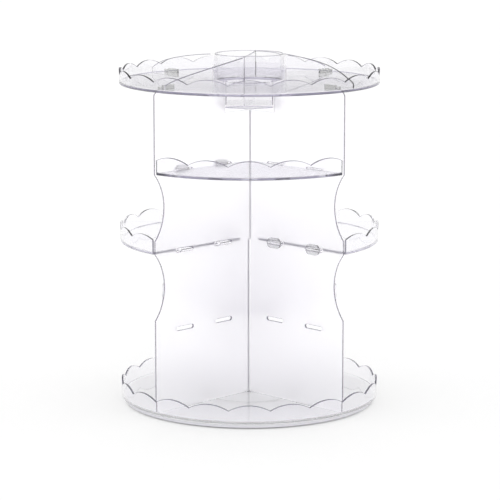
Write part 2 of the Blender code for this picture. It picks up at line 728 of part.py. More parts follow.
def build_foot_plate():
    """The fixed disc under the turning part, dished up at its centre over the pivot's washer."""
    profile = [
        (HUB_BORE_RADIUS, HUB_UNDERSIDE),
        (FOOT_DISH_RADIUS, HUB_UNDERSIDE),
        (FOOT_DISH_RADIUS + FOOT_DISH_SLOPE, FOOT_UNDERSIDE),
        (FOOT_RADIUS, FOOT_UNDERSIDE),
        (FOOT_RADIUS, FOOT_TOP - FOOT_EDGE_CHAMFER),
        (FOOT_RADIUS - FOOT_EDGE_CHAMFER, FOOT_TOP),
        (FOOT_DISH_RADIUS + 2 * FOOT_DISH_SLOPE, FOOT_TOP),
        (FOOT_DISH_RADIUS + FOOT_DISH_SLOPE, HUB_TOP),
        (HUB_BORE_RADIUS, HUB_TOP),
    ]
    bm = bmesh.new()
    turned(bm, profile, FOOT_ROUND_STEPS)
    plate = add_object("foot_plate", mesh_from(bm, "foot_plate"))
    combine(plate, ball_track(), "DIFFERENCE")
    pockets = bmesh.new()
    pocket_radius = PAD_RADIUS + SEAT_GAP
    pocket_top = FOOT_UNDERSIDE + PAD_POCKET_DEPTH
    for centre in pad_centres():
        cylinder(pockets, centre, pocket_radius, FOOT_UNDERSIDE - SEAT_GAP, pocket_top, SMALL_ROUND_STEPS)
    combine(plate, pockets, "DIFFERENCE")
    return finish(plate, white_plastic("foot_plate"))


def pad_centres():
    return spaced_round(PAD_RING_RADIUS, PAD_COUNT, BOARD_AZIMUTH)


def build_foot_pads():
    bm = bmesh.new()
    cylinder(bm, Vector(), PAD_RADIUS, 0.0, PAD_HEIGHT, SMALL_ROUND_STEPS)
    mesh = mesh_from(bm, "foot_pad")
    pads = []
    for number, centre in enumerate(pad_centres(), 1):
        name = f"foot_pad_{number}"
        pad = add_object(name, mesh.copy(), soft_plastic(name))
        pad.location = centre
        pads.append(pad)
    return pads


def build_ball_cage():
    """A flat ring with a hole for each ball, free between the foot and the base tray."""
    middle = (0.0, 0.0)
    half_width = CAGE_WIDTH / 2
    loops = [circle(middle, BALL_RING_RADIUS + half_width, ROUND_STEPS)]
    loops.append(circle(middle, BALL_RING_RADIUS - half_width, ROUND_STEPS))
    for centre in ball_centres():
        loops.append(circle((centre.x, centre.y), TRACK_RADIUS, BALL_HOLE_STEPS))
    thickness = RUNNING_SPACE - 2 * SEAT_GAP
    bm = filled_plate(loops, thickness)
    for corner in bm.verts:
        corner.co = (corner.co.x, corner.co.z, BALL_HEIGHT + corner.co.y)
    return add_object("ball_cage", mesh_from(bm, "ball_cage"), white_plastic("ball_cage"))


def ball_centres():
    return spaced_round(BALL_RING_RADIUS, BALL_COUNT, 0.0, BALL_HEIGHT)


def build_bearing_balls():
    bm = bmesh.new()
    bmesh.ops.create_icosphere(bm, subdivisions=2, radius=BALL_RADIUS)
    mesh = mesh_from(bm, "bearing_ball")
    balls = []
    for number, centre in enumerate(ball_centres(), 1):
        name = f"bearing_ball_{number:02d}"
        ball = add_object(name, mesh.copy(), steel(name))
        ball.location = centre
        balls.append(ball)
    return balls


def build_pivot_bush():
    """A flanged ring in the foot's centre hole, round the base tray's hub."""
    flange_top = BASE_UNDERSIDE - SEAT_GAP
    flange_underside = HUB_TOP + SEAT_GAP
    profile = [
        (BUSH_BORE_RADIUS, HUB_UNDERSIDE),
        (BUSH_RADIUS, HUB_UNDERSIDE),
        (BUSH_RADIUS, flange_underside),
        (BUSH_FLANGE_RADIUS, flange_underside),
        (BUSH_FLANGE_RADIUS, flange_top),
        (BUSH_BORE_RADIUS, flange_top),
    ]
    return turned_piece("pivot_bush", profile, white_plastic("pivot_bush"), SMALL_ROUND_STEPS)


def build_pivot_washer():
    bore = SCREW_RADIUS + SEAT_GAP
    profile = [
        (bore, WASHER_UNDERSIDE),
        (WASHER_RADIUS, WASHER_UNDERSIDE),
        (WASHER_RADIUS, WASHER_TOP),
        (bore, WASHER_TOP),
    ]
    return turned_piece("pivot_washer", profile, steel("pivot_washer"), SMALL_ROUND_STEPS)


def build_pivot_screw():
    """A flat-headed screw from below, up into the base tray's hub."""
    head_top = WASHER_UNDERSIDE - SEAT_GAP
    head_bottom = head_top - SCREW_HEAD_HEIGHT
    tip = BASE_FLOOR - HUB_SKIN - SEAT_GAP
    profile = [
        (0.0, head_bottom),
        (SCREW_HEAD_RADIUS - SCREW_HEAD_HEIGHT / 2, head_bottom),
        (SCREW_HEAD_RADIUS, head_bottom + SCREW_HEAD_HEIGHT / 2),
        (SCREW_HEAD_RADIUS, head_top),
        (SCREW_RADIUS, head_top),
        (SCREW_RADIUS, tip - SCREW_RADIUS / 2),
        (SCREW_RADIUS / 2, tip),
        (0.0, tip),
    ]
    return turned_piece("pivot_screw", profile, steel("pivot_screw"), SMALL_ROUND_STEPS)


def gather(name, pieces):
    """Parents pieces that move together to an empty on the turning axis."""
    empty = bpy.data.objects.new(name, None)
    bpy.context.collection.objects.link(empty)
    for piece in pieces:
        piece.parent = empty


def main():
    clear_scene()
    gather("foot", [build_foot_plate(), *build_foot_pads(), build_pivot_bush()])
    gather("ball_ring", [build_ball_cage(), *build_bearing_balls()])
    carousel = [
        build_base_tray(),
        build_pivot_washer(),
        build_pivot_screw(),
        build_board("cross_board_a", -BOARD_AZIMUTH, True),
        build_board("cross_board_b", BOARD_AZIMUTH, False),
        *build_shelves(),
        build_top_tray(),
        build_top_divider(),
        build_brush_cup(),
        build_cup_partition(),
    ]
    gather("carousel", carousel)


main()
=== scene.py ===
"""The rotating makeup organizer as it looks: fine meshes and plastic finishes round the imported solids.

Lengths are in metres and +Z is up. An azimuth is an angle in degrees from the front (-Y) towards +X.
"""
import math

import bmesh
import bpy
from mathutils import Matrix, Vector


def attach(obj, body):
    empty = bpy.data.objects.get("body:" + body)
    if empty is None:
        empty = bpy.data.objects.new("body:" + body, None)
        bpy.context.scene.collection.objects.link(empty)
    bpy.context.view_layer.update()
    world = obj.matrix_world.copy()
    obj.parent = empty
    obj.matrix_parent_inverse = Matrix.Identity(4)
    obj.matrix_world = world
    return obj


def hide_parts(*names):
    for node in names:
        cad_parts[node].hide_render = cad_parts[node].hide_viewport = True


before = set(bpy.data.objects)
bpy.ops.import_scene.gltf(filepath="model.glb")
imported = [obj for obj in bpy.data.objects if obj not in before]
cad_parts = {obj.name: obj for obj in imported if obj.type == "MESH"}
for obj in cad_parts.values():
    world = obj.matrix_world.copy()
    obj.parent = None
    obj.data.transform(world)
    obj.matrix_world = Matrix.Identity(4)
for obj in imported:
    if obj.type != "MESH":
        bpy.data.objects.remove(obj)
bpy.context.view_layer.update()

MM = 0.001
SEAT_GAP = 0.3 * MM

# A point this close to a line or plane lies on it, and corners this close to each other become one
NEAR = 0.01 * MM
WELD = 0.001 * MM

# Scalloped trays
TRAY_RADIUS = 115.0 * MM
RIM_WALL = 1.8 * MM
TRAY_INNER_RADIUS = TRAY_RADIUS - RIM_WALL
FLOOR_THICKNESS = 2.0 * MM
TRAY_FOOT_ROUND = 1.2 * MM
TRAY_INSIDE_ROUND = 0.8 * MM
RIM_EDGE_ROUND = 0.45 * MM
SCALLOP_COUNT = 20
SCALLOP_STEPS = 16
SCALLOP_RISE = 4.9 * MM
BASE_RIM_HEIGHT = 11.7 * MM
SHELF_RIM_HEIGHT = 11.5 * MM
TOP_RIM_HEIGHT = 8.9 * MM

# Heights, from the ground up
FOOT_UNDERSIDE = 1.2 * MM
FOOT_TOP = 3.2 * MM
BALL_HEIGHT = 4.1 * MM
BASE_UNDERSIDE = 5.0 * MM
BASE_FLOOR = BASE_UNDERSIDE + FLOOR_THICKNESS
LEVELS = (76.8 * MM, 146.2 * MM, 215.6 * MM)
TOP_UNDERSIDE = 286.2 * MM
TOP_FLOOR = TOP_UNDERSIDE + FLOOR_THICKNESS
BOARD_BOTTOM = BASE_FLOOR + SEAT_GAP
BOARD_TOP = TOP_UNDERSIDE - SEAT_GAP
HALF_LAP_HEIGHT = (BOARD_BOTTOM + BOARD_TOP) / 2

# Foot, ball ring and pivot
FOOT_RADIUS = 111.0 * MM
FOOT_EDGE_ROUND = 0.6 * MM
FOOT_DISH_RADIUS = 13.0 * MM
FOOT_DISH_SLOPE = 1.4 * MM
HUB_TOP = 3.9 * MM
HUB_UNDERSIDE = 2.6 * MM
HUB_BORE_RADIUS = 7.3 * MM
HUB_BOSS_RADIUS = 5.5 * MM
SCREW_HOLE_RADIUS = 1.8 * MM
SCREW_HOLE_TOP = 6.4 * MM
TRACK_MIDDLE_RADIUS = 42.0 * MM
TRACK_ROUND = 1.8 * MM
PAD_RADIUS = 7.0 * MM
PAD_RING_RADIUS = 95.0 * MM
PAD_COUNT = 4
PAD_POCKET_DEPTH = 0.7 * MM

# Crossed boards, which make a cross of four arms
BOARD_AZIMUTH = 45.0
ARM_COUNT = 4
BOARD_THICKNESS = 2.0 * MM
BOARD_RADIUS = 114.5 * MM
BOARD_FOOT_RADIUS = TRAY_INNER_RADIUS - SEAT_GAP
BOARD_CORNER = 3.0 * MM
BOARD_EDGE_CHAMFER = 0.3 * MM
BOARD_SLOT_WIDTH = BOARD_THICKNESS + 2 * SEAT_GAP
WAIST_DEPTH = 10.8 * MM
WAIST_STEPS = 40
CORNER_STEPS = 8
FOOT_TAB_RADIUS = 60.0 * MM
FOOT_TAB_LENGTH = 20.0 * MM
TOP_TAB_RADIUS = 91.0 * MM
TOP_TAB_LENGTH = 13.0 * MM
TOP_TAB_SLIT = 1.5 * MM
TOP_PRONG_LENGTH = 3.0 * MM
TOP_TAB_STAND = 3.8 * MM
TOP_PRONG_STAND = 2.8 * MM

# Slots, hooks and tongues
SLOT_RADII = (33.0 * MM, 80.0 * MM)
SLOT_LENGTH = 20.0 * MM
SLOT_HEIGHT = 3.5 * MM
TONGUE_WIDTH = 14.0 * MM
TONGUE_DROP = 0.5 * MM
TONGUE_THICKNESS = 2.3 * MM
TONGUE_REACH = 3.0 * MM
TONGUE_ROOT = 3.0 * MM
TONGUE_EDGE_ROUND = 0.5 * MM
HOOK_HEAD_WIDTH = 16.0 * MM
HOOK_HEAD_HEIGHT = 9.0 * MM
HOOK_HEAD_THICKNESS = 2.0 * MM
HOOK_HEAD_ROUND = 0.7 * MM

# Quarter shelves
SHELF_SIDE_OFFSET = 2.8 * MM
SHELF_TIP_RADIUS = 10.0 * MM
SHELF_SPARE_STEPS = 2

# Brush cup, its partition, and the collar with its blades
CUP_RADIUS = 30.8 * MM
CUP_LOWER_RADIUS = 29.6 * MM
CUP_WALL = 1.8 * MM
CUP_FLOOR = 2.0 * MM
CUP_SHOULDER = 1.2 * MM
CUP_SEAT = TOP_FLOOR + SEAT_GAP
CUP_TOP = 312.3 * MM
CUP_BOTTOM = 266.3 * MM
CUP_EDGE_ROUND = 0.5 * MM
CUP_HOLE_RADIUS = CUP_LOWER_RADIUS + SEAT_GAP
NOTCH_RADIUS = 30.3 * MM
NOTCH_BOTTOM = 262.3 * MM
PARTITION_THICKNESS = 1.6 * MM
PARTITION_TOP = 311.3 * MM
PARTITION_AZIMUTH = -9.6
COLLAR_BORE_RADIUS = 31.1 * MM
COLLAR_RADIUS = 32.9 * MM
COLLAR_TOP = 301.8 * MM
BLADE_COUNT = 4
BLADE_THICKNESS = 1.6 * MM
BLADE_ROOT_RADIUS = 32.0 * MM
BLADE_END_RADIUS = TRAY_INNER_RADIUS - SEAT_GAP
BLADE_RIM_AZIMUTH = 51.2
BLADE_SWEEP = 29.2
BLADE_SWEEP_POWER = 1.2
BLADE_INNER_HEIGHT = 22.8 * MM
BLADE_OUTER_HEIGHT = 4.0 * MM
BLADE_FALL_POWER = 1.5
BLADE_CROWN_POWER = 1.3
BLADE_STEPS = 48
BLADE_STEP_POWER = 1.5
BLADE_TOP_BAND = 0.25 * MM

# Directions, and the steps of spun and rounded shapes
FULL_TURN = 2 * math.pi
QUARTER_TURN = math.pi / 2
ROUND_STEPS = 192
SMALL_ROUND_STEPS = 48
END_STEPS = 12
EDGE_STEPS = 3
FINE_EDGE_STEPS = 4
UP = Vector((0.0, 0.0, 1.0))
BACK = Vector((0.0, 1.0, 0.0))
ORIGIN = Vector((0.0, 0.0, 0.0))

# Shading: edges past the angle (degrees) stay sharp, and the largest faces at a corner set its shading,
# with those whose area is alike
SHARP_ANGLE = 30.0
LARGE_FACES_ONLY = 100
LIKE_AREA = 2.0 * MM * MM

# An edge between two faces at more than this angle (radians) belongs to a plate's outline
SQUARE_EDGE_ANGLE = 1.0

# How far a face's normal follows a direction, from 0 (across it) to 1 (along it)
SAME_WAY = 0.99
HEAD_FLAT_FROM = 0.95
EDGE_ALONE = 0.1
EDGE_WITH_CHAMFER = 0.9
RIM_LEAST_UP = 0.1
RIM_LEAST_OUT = -0.2

# Noise patterns (cells per metre, detail) and the part of their range that is used
MOULDING_WAVES = (22.0, 1.0)
MOULDING_HAZE = (160.0, 3.0)
FROST_CLOUDS = (40.0, 3.0)
FROST_GRAIN = (2500.0, 2.0)
SOLID_CLOUDS = (60.0, 3.0)
SOLID_GRAIN = (1800.0, 2.0)
NOISE_LOW = 0.3
NOISE_HIGH = 0.7

# Roughness, bumps (strength, depth), and the share of the studio's light that goes straight through a surface
CLEAR_ROUGHNESS = (0.01, 0.05)
WAVE_BUMP = (0.1, 0.4 * MM)
FROST_BUMP = (0.15, 0.05 * MM)
SOLID_BUMP = (0.2, 0.05 * MM)
CLEAR_PASSES = 0.95
FROST_PASSES = 0.91

# Clear finishes: tint, deeper tint and refractive index. The deep ones go on rims and edges, where the
# plastic is looked through along its length, and are far darker than that makes them: painted shade.
# An index below polystyrene's own mirrors less of the studio.
POLYSTYRENE = 1.57
THIN_EDGE = 1.25
CLEAR_FINISHES = {
    "tray_clear": ((0.975, 0.97, 0.988), (0.96, 0.955, 0.978), POLYSTYRENE),
    "base_clear": ((0.975, 0.97, 0.988), (0.96, 0.955, 0.978), POLYSTYRENE),
    # edge_deep to lap_deep: dark tints paint the dark lines along rims, edges and ends, and the grey of the
    # front shelf's floor and hook heads: painted shade. The pale ones are lighter copies for the far shelves:
    # painted light.
    "edge_deep": ((0.08, 0.075, 0.11), (0.06, 0.055, 0.09), THIN_EDGE),
    "rim_deep": ((0.1, 0.09, 0.13), (0.08, 0.07, 0.11), THIN_EDGE),
    "rim_pale": ((0.86, 0.85, 0.89), (0.82, 0.81, 0.85), POLYSTYRENE),
    "side_deep": ((0.34, 0.32, 0.44), (0.3, 0.28, 0.4), POLYSTYRENE),
    "side_pale": ((0.4, 0.38, 0.5), (0.37, 0.35, 0.47), POLYSTYRENE),
    "shelf_side": ((0.28, 0.27, 0.36), (0.26, 0.25, 0.34), POLYSTYRENE),
    "shelf_floor": ((0.74, 0.735, 0.765), (0.7, 0.695, 0.725), POLYSTYRENE),
    "end_pale": ((0.9, 0.895, 0.92), (0.87, 0.865, 0.89), POLYSTYRENE),
    "head_deep": ((0.72, 0.72, 0.73), (0.62, 0.62, 0.63), POLYSTYRENE),
    "head_edge": ((0.4, 0.4, 0.41), (0.34, 0.34, 0.35), POLYSTYRENE),
    "board_edge": ((0.15, 0.14, 0.18), (0.12, 0.11, 0.15), POLYSTYRENE),
    "lap_deep": ((0.04, 0.035, 0.05), (0.03, 0.025, 0.04), POLYSTYRENE),
    "tab_deep": ((0.68, 0.69, 0.66), (0.56, 0.57, 0.54), POLYSTYRENE),
    "cup_clear": ((0.995, 0.994, 0.998), (0.985, 0.984, 0.99), POLYSTYRENE),
    # lip_deep: the dark line round the cup's lip, painted shade
    "lip_deep": ((0.4, 0.38, 0.46), (0.36, 0.34, 0.42), POLYSTYRENE),
    "cup_foot": ((0.95, 0.945, 0.96), (0.93, 0.925, 0.94), 1.15),
    # cup_foot_edge: the dark line round the cup's underside, painted shade
    "cup_foot_edge": ((0.3, 0.28, 0.4), (0.25, 0.23, 0.35), 1.2),
    "partition_clear": ((0.97, 0.968, 0.978), (0.95, 0.948, 0.96), 1.3),
    # partition_end: the dark line of the partition's near end, painted shade
    "partition_end": ((0.3, 0.29, 0.33), (0.26, 0.25, 0.29), 1.2),
    "collar_clear": ((0.95, 0.945, 0.965), (0.925, 0.92, 0.94), THIN_EDGE),
    "blade_clear": ((0.99, 0.988, 0.994), (0.98, 0.978, 0.985), THIN_EDGE),
}

# Frosted finishes: tint, deeper tint, lowest and highest roughness, and refractive index
FROSTED_FINISHES = {
    "board_frost": ((0.978, 0.974, 0.984), (0.963, 0.958, 0.974), 0.7, 0.8, 1.16),
    "tray_etched": ((0.985, 0.984, 0.99), (0.975, 0.974, 0.985), 0.6, 0.7, 1.2),
}

# Solid finishes: colour, second colour, lowest and highest roughness
SOLID_FINISHES = {
    # end_dark and end_deep: opaque dark ends on the clear shelves, painted shade
    "end_dark": ((0.72, 0.7, 0.8), (0.68, 0.66, 0.76), 0.25, 0.4),
    "end_deep": ((0.36, 0.35, 0.41), (0.32, 0.31, 0.37), 0.25, 0.4),
    "foot_white": ((0.98, 0.98, 0.99), (0.96, 0.96, 0.975), 0.4, 0.5),
    # foot_edge: the plate's edge darker where the tray overhangs it, painted shade
    "foot_edge": ((0.78, 0.77, 0.82), (0.74, 0.73, 0.78), 0.4, 0.5),
    "white_plastic": ((0.86, 0.86, 0.86), (0.82, 0.82, 0.82), 0.35, 0.5),
    "pad_soft": ((0.72, 0.72, 0.74), (0.66, 0.66, 0.68), 0.65, 0.8),
    "bearing_steel": ((0.62, 0.62, 0.64), (0.55, 0.55, 0.57), 0.16, 0.3),
}

# Painted shade by place and by slant: where each starts, where it is full, and what it is there
# Round the cup's outline: partly the longer path through its wall, partly painted shade
CUP_OUTLINE_TINT_AND_SHADE = (0.45, 0.44, 0.5)
SLANT_START = 0.6
# The base tray's floor darker towards its middle, under the shelves and between the boards: painted shade
BASE_MIDDLE_PAINTED_SHADE = (0.77, 0.765, 0.795)
FLOOR_SHADE_RADIUS = 108.0 * MM
FLOOR_SHADE_FULL = 50.0 * MM
# The front shelf's opaque ends darker towards the rim: painted shade
END_RIM_PAINTED_SHADE = (0.1, 0.1, 0.12)
END_SHADE_START = 0.7 * TRAY_RADIUS
END_SHADE_FULL = 0.9 * TRAY_RADIUS
# The boards darker near the axis between the shelves, where these shade them: painted shade
BOARD_CORNER_PAINTED_SHADE = (0.923, 0.917, 0.934)
CORNER_SHADE_RADIUS = 110.0 * MM
CORNER_SHADE_TOP = 225.0 * MM
CORNER_SHADE_FULL = 160.0 * MM

# Studio: its light is given by the sine of the height above the horizon
STUDIO_LIGHT = (
    (0.0, 1.12), (0.1008, 1.12), (0.1018, 0.66), (0.105, 0.59), (0.1115, 0.5), (0.114, 1.0), (0.18, 1.06),
    (0.3, 1.03), (1.0, 1.04),
)
FLOOR_RADIUS = 30.0
FLOOR_WHITE = 0.92
FLOOR_GLOW = 0.08
CLEAR_BOUNCES = 32
GLOSSY_BOUNCES = 16
OPENING_BOUNCES = 48

# Camera, fitted to the photograph
CAMERA_PLACE = (0.0, -2.0154, 0.4978)
CAMERA_PITCH = 10.173
CAMERA_SHIFT = 0.0014
FOCAL_PIXELS = 2290.1
PHOTO_WIDTH = 500
SENSOR_WIDTH = 36.0


# Mesh tools

def on_azimuth(radius, azimuth, height=0.0):
    angle = math.radians(azimuth)
    return Vector((radius * math.sin(angle), -radius * math.cos(angle), height))


def turn_about_axis(bm, azimuth):
    turn = Matrix.Rotation(math.radians(azimuth), 3, "Z")
    bmesh.ops.rotate(bm, verts=bm.verts[:], cent=ORIGIN, matrix=turn)


def line_to(bm, last, along, height):
    """Draws a straight edge in the XZ plane from the last vertex."""
    corner = bm.verts.new((along, 0.0, height))
    bm.edges.new((last, corner))
    return corner


def arc_to(bm, last, centre, angle, steps):
    """Draws an arc in the XZ plane from the last vertex about a centre, anticlockwise seen from the front."""
    middle = Vector((centre[0], 0.0, centre[1]))
    spun = bmesh.ops.spin(bm, geom=[last], cent=middle, axis=(0.0, -1.0, 0.0), angle=angle, steps=steps)
    return [part for part in spun["geom_last"] if isinstance(part, bmesh.types.BMVert)][0]


def draw(bm, corners):
    """Draws straight edges through corners in the XZ plane and returns the first and last vertex."""
    first = bm.verts.new((corners[0][0], 0.0, corners[0][1]))
    last = first
    for along, height in corners[1:]:
        last = line_to(bm, last, along, height)
    return first, last


def spin_section(bm, steps, angle=FULL_TURN):
    """Turns the drawn section about the axis, and closes it where it meets the axis."""
    section = bm.verts[:] + bm.edges[:]
    whole = angle == FULL_TURN
    bmesh.ops.spin(bm, geom=section, cent=ORIGIN, axis=UP, angle=angle, steps=steps, use_merge=whole)
    bmesh.ops.remove_doubles(bm, verts=bm.verts[:], dist=WELD)
    bmesh.ops.recalc_face_normals(bm, faces=bm.faces[:])


def round_edges(bm, edges, width, segments):
    bmesh.ops.bevel(
        bm, geom=edges, offset=width, offset_type="OFFSET", affect="EDGES", segments=segments, profile=0.5,
        material=-1, clamp_overlap=True,
    )


def ring_edges(bm, radius, height):
    """The edges of a spun mesh that lie on one circle."""
    def on_circle(corner):
        return abs(corner.co.z - height) < NEAR and abs(corner.co.xy.length - radius) < NEAR
    return [edge for edge in bm.edges if all(on_circle(end) for end in edge.verts)]


def grow(bm, faces, move):
    """Extrudes faces along a vector."""
    grown = bmesh.ops.extrude_face_region(bm, geom=faces)
    moved = [part for part in grown["geom"] if isinstance(part, bmesh.types.BMVert)]
    bmesh.ops.translate(bm, verts=moved, vec=move)


def extrude_plate(bm, thickness):
    """Fills the loops drawn in the XZ plane and gives the plate its thickness, centred on that plane."""
    bmesh.ops.triangle_fill(bm, use_beauty=True, use_dissolve=False, edges=bm.edges[:])
    bmesh.ops.translate(bm, verts=bm.verts[:], vec=(0.0, -thickness / 2, 0.0))
    grow(bm, bm.faces[:], (0.0, thickness, 0.0))
    bmesh.ops.recalc_face_normals(bm, faces=bm.faces[:])


def chamfer_plate(bm, width):
    """Draws both flat sides of a plate in by a width, so that its edges catch the light."""
    for side in (-1, 1):
        flat = [face for face in bm.faces if face.normal.y * side > SAME_WAY]
        bmesh.ops.inset_region(
            bm, faces=flat, thickness=width, depth=0.0, use_boundary=True, use_even_offset=True,
        )
        inner = set(corner for face in flat for corner in face.verts)
        rim = [face for face in bm.faces if face.normal.y * side > SAME_WAY and face not in flat]
        outer = set(corner for face in rim for corner in face.verts) - inner
        bmesh.ops.translate(bm, verts=list(outer), vec=(0.0, -side * width, 0.0))
    bm.normal_update()


def prism(bm, corners, move):
    """Fills a flat outline and extrudes it along a vector."""
    start = bmesh.ops.contextual_create(bm, geom=[bm.verts.new(corner) for corner in corners])
    grow(bm, start["faces"], move)


def upright_cylinder(bm, centre, radius, low, high):
    """A cylinder turned by half a step, so that no corner of it lies on an edge of the plate that it cuts."""
    made = bmesh.ops.create_circle(bm, cap_ends=True, segments=SMALL_ROUND_STEPS, radius=radius)
    half_step = Matrix.Rotation(math.pi / SMALL_ROUND_STEPS, 3, "Z")
    bmesh.ops.rotate(bm, verts=made["verts"], cent=ORIGIN, matrix=half_step)
    bmesh.ops.translate(bm, verts=made["verts"], vec=centre + UP * low)
    disc = list({face for corner in made["verts"] for face in corner.link_faces})
    grow(bm, disc, UP * (high - low))


def radial_box(bm, azimuth, inner, outer, across, low, high):
    """A box along an azimuth, from one radius to another, centred on it across its width."""
    along = on_azimuth(1.0, azimuth)
    side = on_azimuth(1.0, azimuth + 90.0)
    corners = []
    for radius, offset in ((inner, -0.5), (outer, -0.5), (outer, 0.5), (inner, 0.5)):
        corners.append(along * radius + side * (offset * across) + UP * low)
    prism(bm, corners, UP * (high - low))


def new_piece(bm, name):
    """Makes an object of a finished mesh, with its faces pointing outwards."""
    bmesh.ops.recalc_face_normals(bm, faces=bm.faces[:])
    if bm.calc_volume(signed=True) < 0.0:
        bmesh.ops.reverse_faces(bm, faces=bm.faces[:])
    mesh = bpy.data.meshes.new(name)
    bm.to_mesh(mesh)
    bm.free()
    piece = bpy.data.objects.new(name, mesh)
    bpy.context.collection.objects.link(piece)
    return piece


def combine(piece, tool_bm, operation):
    """Cuts the tool out of a piece, or joins it on, and drops the tool."""
    tool = new_piece(tool_bm, piece.name + "_tool")
    modifier = piece.modifiers.new("combine", "BOOLEAN")
    modifier.operation = operation
    modifier.solver = "EXACT"
    modifier.object = tool
    shown = piece.evaluated_get(bpy.context.evaluated_depsgraph_get())
    result = bpy.data.meshes.new_from_object(shown)
    piece.modifiers.remove(modifier)
    piece.data = result
    bpy.data.objects.remove(tool, do_unlink=True)


def smooth(piece):
    """Smooth shading that stays flat on flat faces."""
    piece.data.shade_smooth()
    piece.data.set_sharp_from_angle(angle=math.radians(SHARP_ANGLE))
    weighted = piece.modifiers.new("even_shading", "WEIGHTED_NORMAL")
    weighted.keep_sharp = True
    weighted.weight = LARGE_FACES_ONLY
    weighted.thresh = LIKE_AREA


def finish(piece, body, node, material):
    """Puts a finished piece in its CAD node's place, on the node's body."""
    piece.data.materials.clear()
    piece.data.materials.append(material)
    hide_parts(node)
    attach(piece, body)
    return piece


# Scalloped trays and shelves

def scallop_height(azimuth):
    """Height of the rim above its cusps: one circular arc for each scallop, with a peak at the front."""
    pitch = 360.0 / SCALLOP_COUNT
    from_peak = abs((azimuth + pitch / 2) % pitch - pitch / 2)
    half_chord = TRAY_RADIUS * math.sin(math.radians(pitch / 2))
    arc_radius = (half_chord ** 2 + SCALLOP_RISE ** 2) / (2 * SCALLOP_RISE)
    along = TRAY_RADIUS * math.sin(math.radians(from_peak))
    return math.sqrt(arc_radius ** 2 - along ** 2) - (arc_radius - SCALLOP_RISE)


def draw_wall(bm, last, rim_height):
    """Draws a tray's section from its floor, up the inside of the wall and down the outside."""
    last = line_to(bm, last, TRAY_INNER_RADIUS, FLOOR_THICKNESS)
    last = line_to(bm, last, TRAY_INNER_RADIUS, rim_height)
    last = line_to(bm, last, TRAY_RADIUS, rim_height)
    last = line_to(bm, last, TRAY_RADIUS, FLOOR_THICKNESS)
    return line_to(bm, last, TRAY_RADIUS, 0.0)


def shape_rim(bm, rim_height):
    """Rounds a spun tray's edges and lifts the rim into scallops."""
    round_edges(bm, ring_edges(bm, TRAY_INNER_RADIUS, FLOOR_THICKNESS), TRAY_INSIDE_ROUND, EDGE_STEPS)
    round_edges(bm, ring_edges(bm, TRAY_RADIUS, 0.0), TRAY_FOOT_ROUND, FINE_EDGE_STEPS)
    rim_top = ring_edges(bm, TRAY_INNER_RADIUS, rim_height) + ring_edges(bm, TRAY_RADIUS, rim_height)
    round_edges(bm, rim_top, RIM_EDGE_ROUND, EDGE_STEPS)
    for corner in bm.verts:
        if corner.co.z > rim_height - 2 * RIM_EDGE_ROUND:
            azimuth = math.degrees(math.atan2(corner.co.x, -corner.co.y))
            corner.co.z += scallop_height(azimuth)


def cut_board_slots(tray, inner, outer, low, high):
    """Cuts a slot through a tray's floor for each arm of the crossed boards."""
    slots = bmesh.new()
    for arm in range(ARM_COUNT):
        azimuth = BOARD_AZIMUTH + 90.0 * arm
        radial_box(slots, azimuth, inner - SEAT_GAP, outer + SEAT_GAP, BOARD_SLOT_WIDTH, low - MM, high + MM)
    combine(tray, slots, "DIFFERENCE")


def build_base_tray():
    """The lowest tray, with its hub, screw hole and ball track underneath and slots for the boards' feet."""
    groove = BASE_UNDERSIDE - BALL_HEIGHT
    half_groove = math.sqrt(TRACK_ROUND ** 2 - groove ** 2)
    groove_angle = 2 * math.acos(groove / TRACK_ROUND)
    bm = bmesh.new()
    last = bm.verts.new((0.0, 0.0, FLOOR_THICKNESS))
    last = draw_wall(bm, last, BASE_RIM_HEIGHT)
    last = line_to(bm, last, TRACK_MIDDLE_RADIUS + half_groove, 0.0)
    last = arc_to(bm, last, (TRACK_MIDDLE_RADIUS, -groove), groove_angle, END_STEPS)
    last = line_to(bm, last, HUB_BOSS_RADIUS, 0.0)
    last = line_to(bm, last, HUB_BOSS_RADIUS, HUB_UNDERSIDE - BASE_UNDERSIDE)
    last = line_to(bm, last, SCREW_HOLE_RADIUS, HUB_UNDERSIDE - BASE_UNDERSIDE)
    last = line_to(bm, last, SCREW_HOLE_RADIUS, SCREW_HOLE_TOP - BASE_UNDERSIDE)
    line_to(bm, last, 0.0, SCREW_HOLE_TOP - BASE_UNDERSIDE)
    spin_section(bm, SCALLOP_COUNT * SCALLOP_STEPS)
    shape_rim(bm, BASE_RIM_HEIGHT)
    bmesh.ops.translate(bm, verts=bm.verts[:], vec=UP * BASE_UNDERSIDE)
    tray = new_piece(bm, "base_tray_clear")
    cut_board_slots(tray, FOOT_TAB_RADIUS, FOOT_TAB_RADIUS + FOOT_TAB_LENGTH, BASE_UNDERSIDE, BASE_FLOOR)
    smooth(tray)
    return tray


def build_top_tray():
    """The highest tray, with a hole for the brush cup and slots for the boards' tabs."""
    bm = bmesh.new()
    first = bm.verts.new((CUP_HOLE_RADIUS, 0.0, FLOOR_THICKNESS))
    last = draw_wall(bm, first, TOP_RIM_HEIGHT)
    last = line_to(bm, last, CUP_HOLE_RADIUS, 0.0)
    bm.edges.new((last, first))
    spin_section(bm, SCALLOP_COUNT * SCALLOP_STEPS)
    shape_rim(bm, TOP_RIM_HEIGHT)
    bmesh.ops.translate(bm, verts=bm.verts[:], vec=UP * TOP_UNDERSIDE)
    tray = new_piece(bm, "top_tray_clear")
    prong_end = TOP_TAB_RADIUS + TOP_TAB_LENGTH + TOP_TAB_SLIT + TOP_PRONG_LENGTH
    cut_board_slots(tray, TOP_TAB_RADIUS, prong_end, TOP_UNDERSIDE, TOP_FLOOR)
    smooth(tray)
    return tray


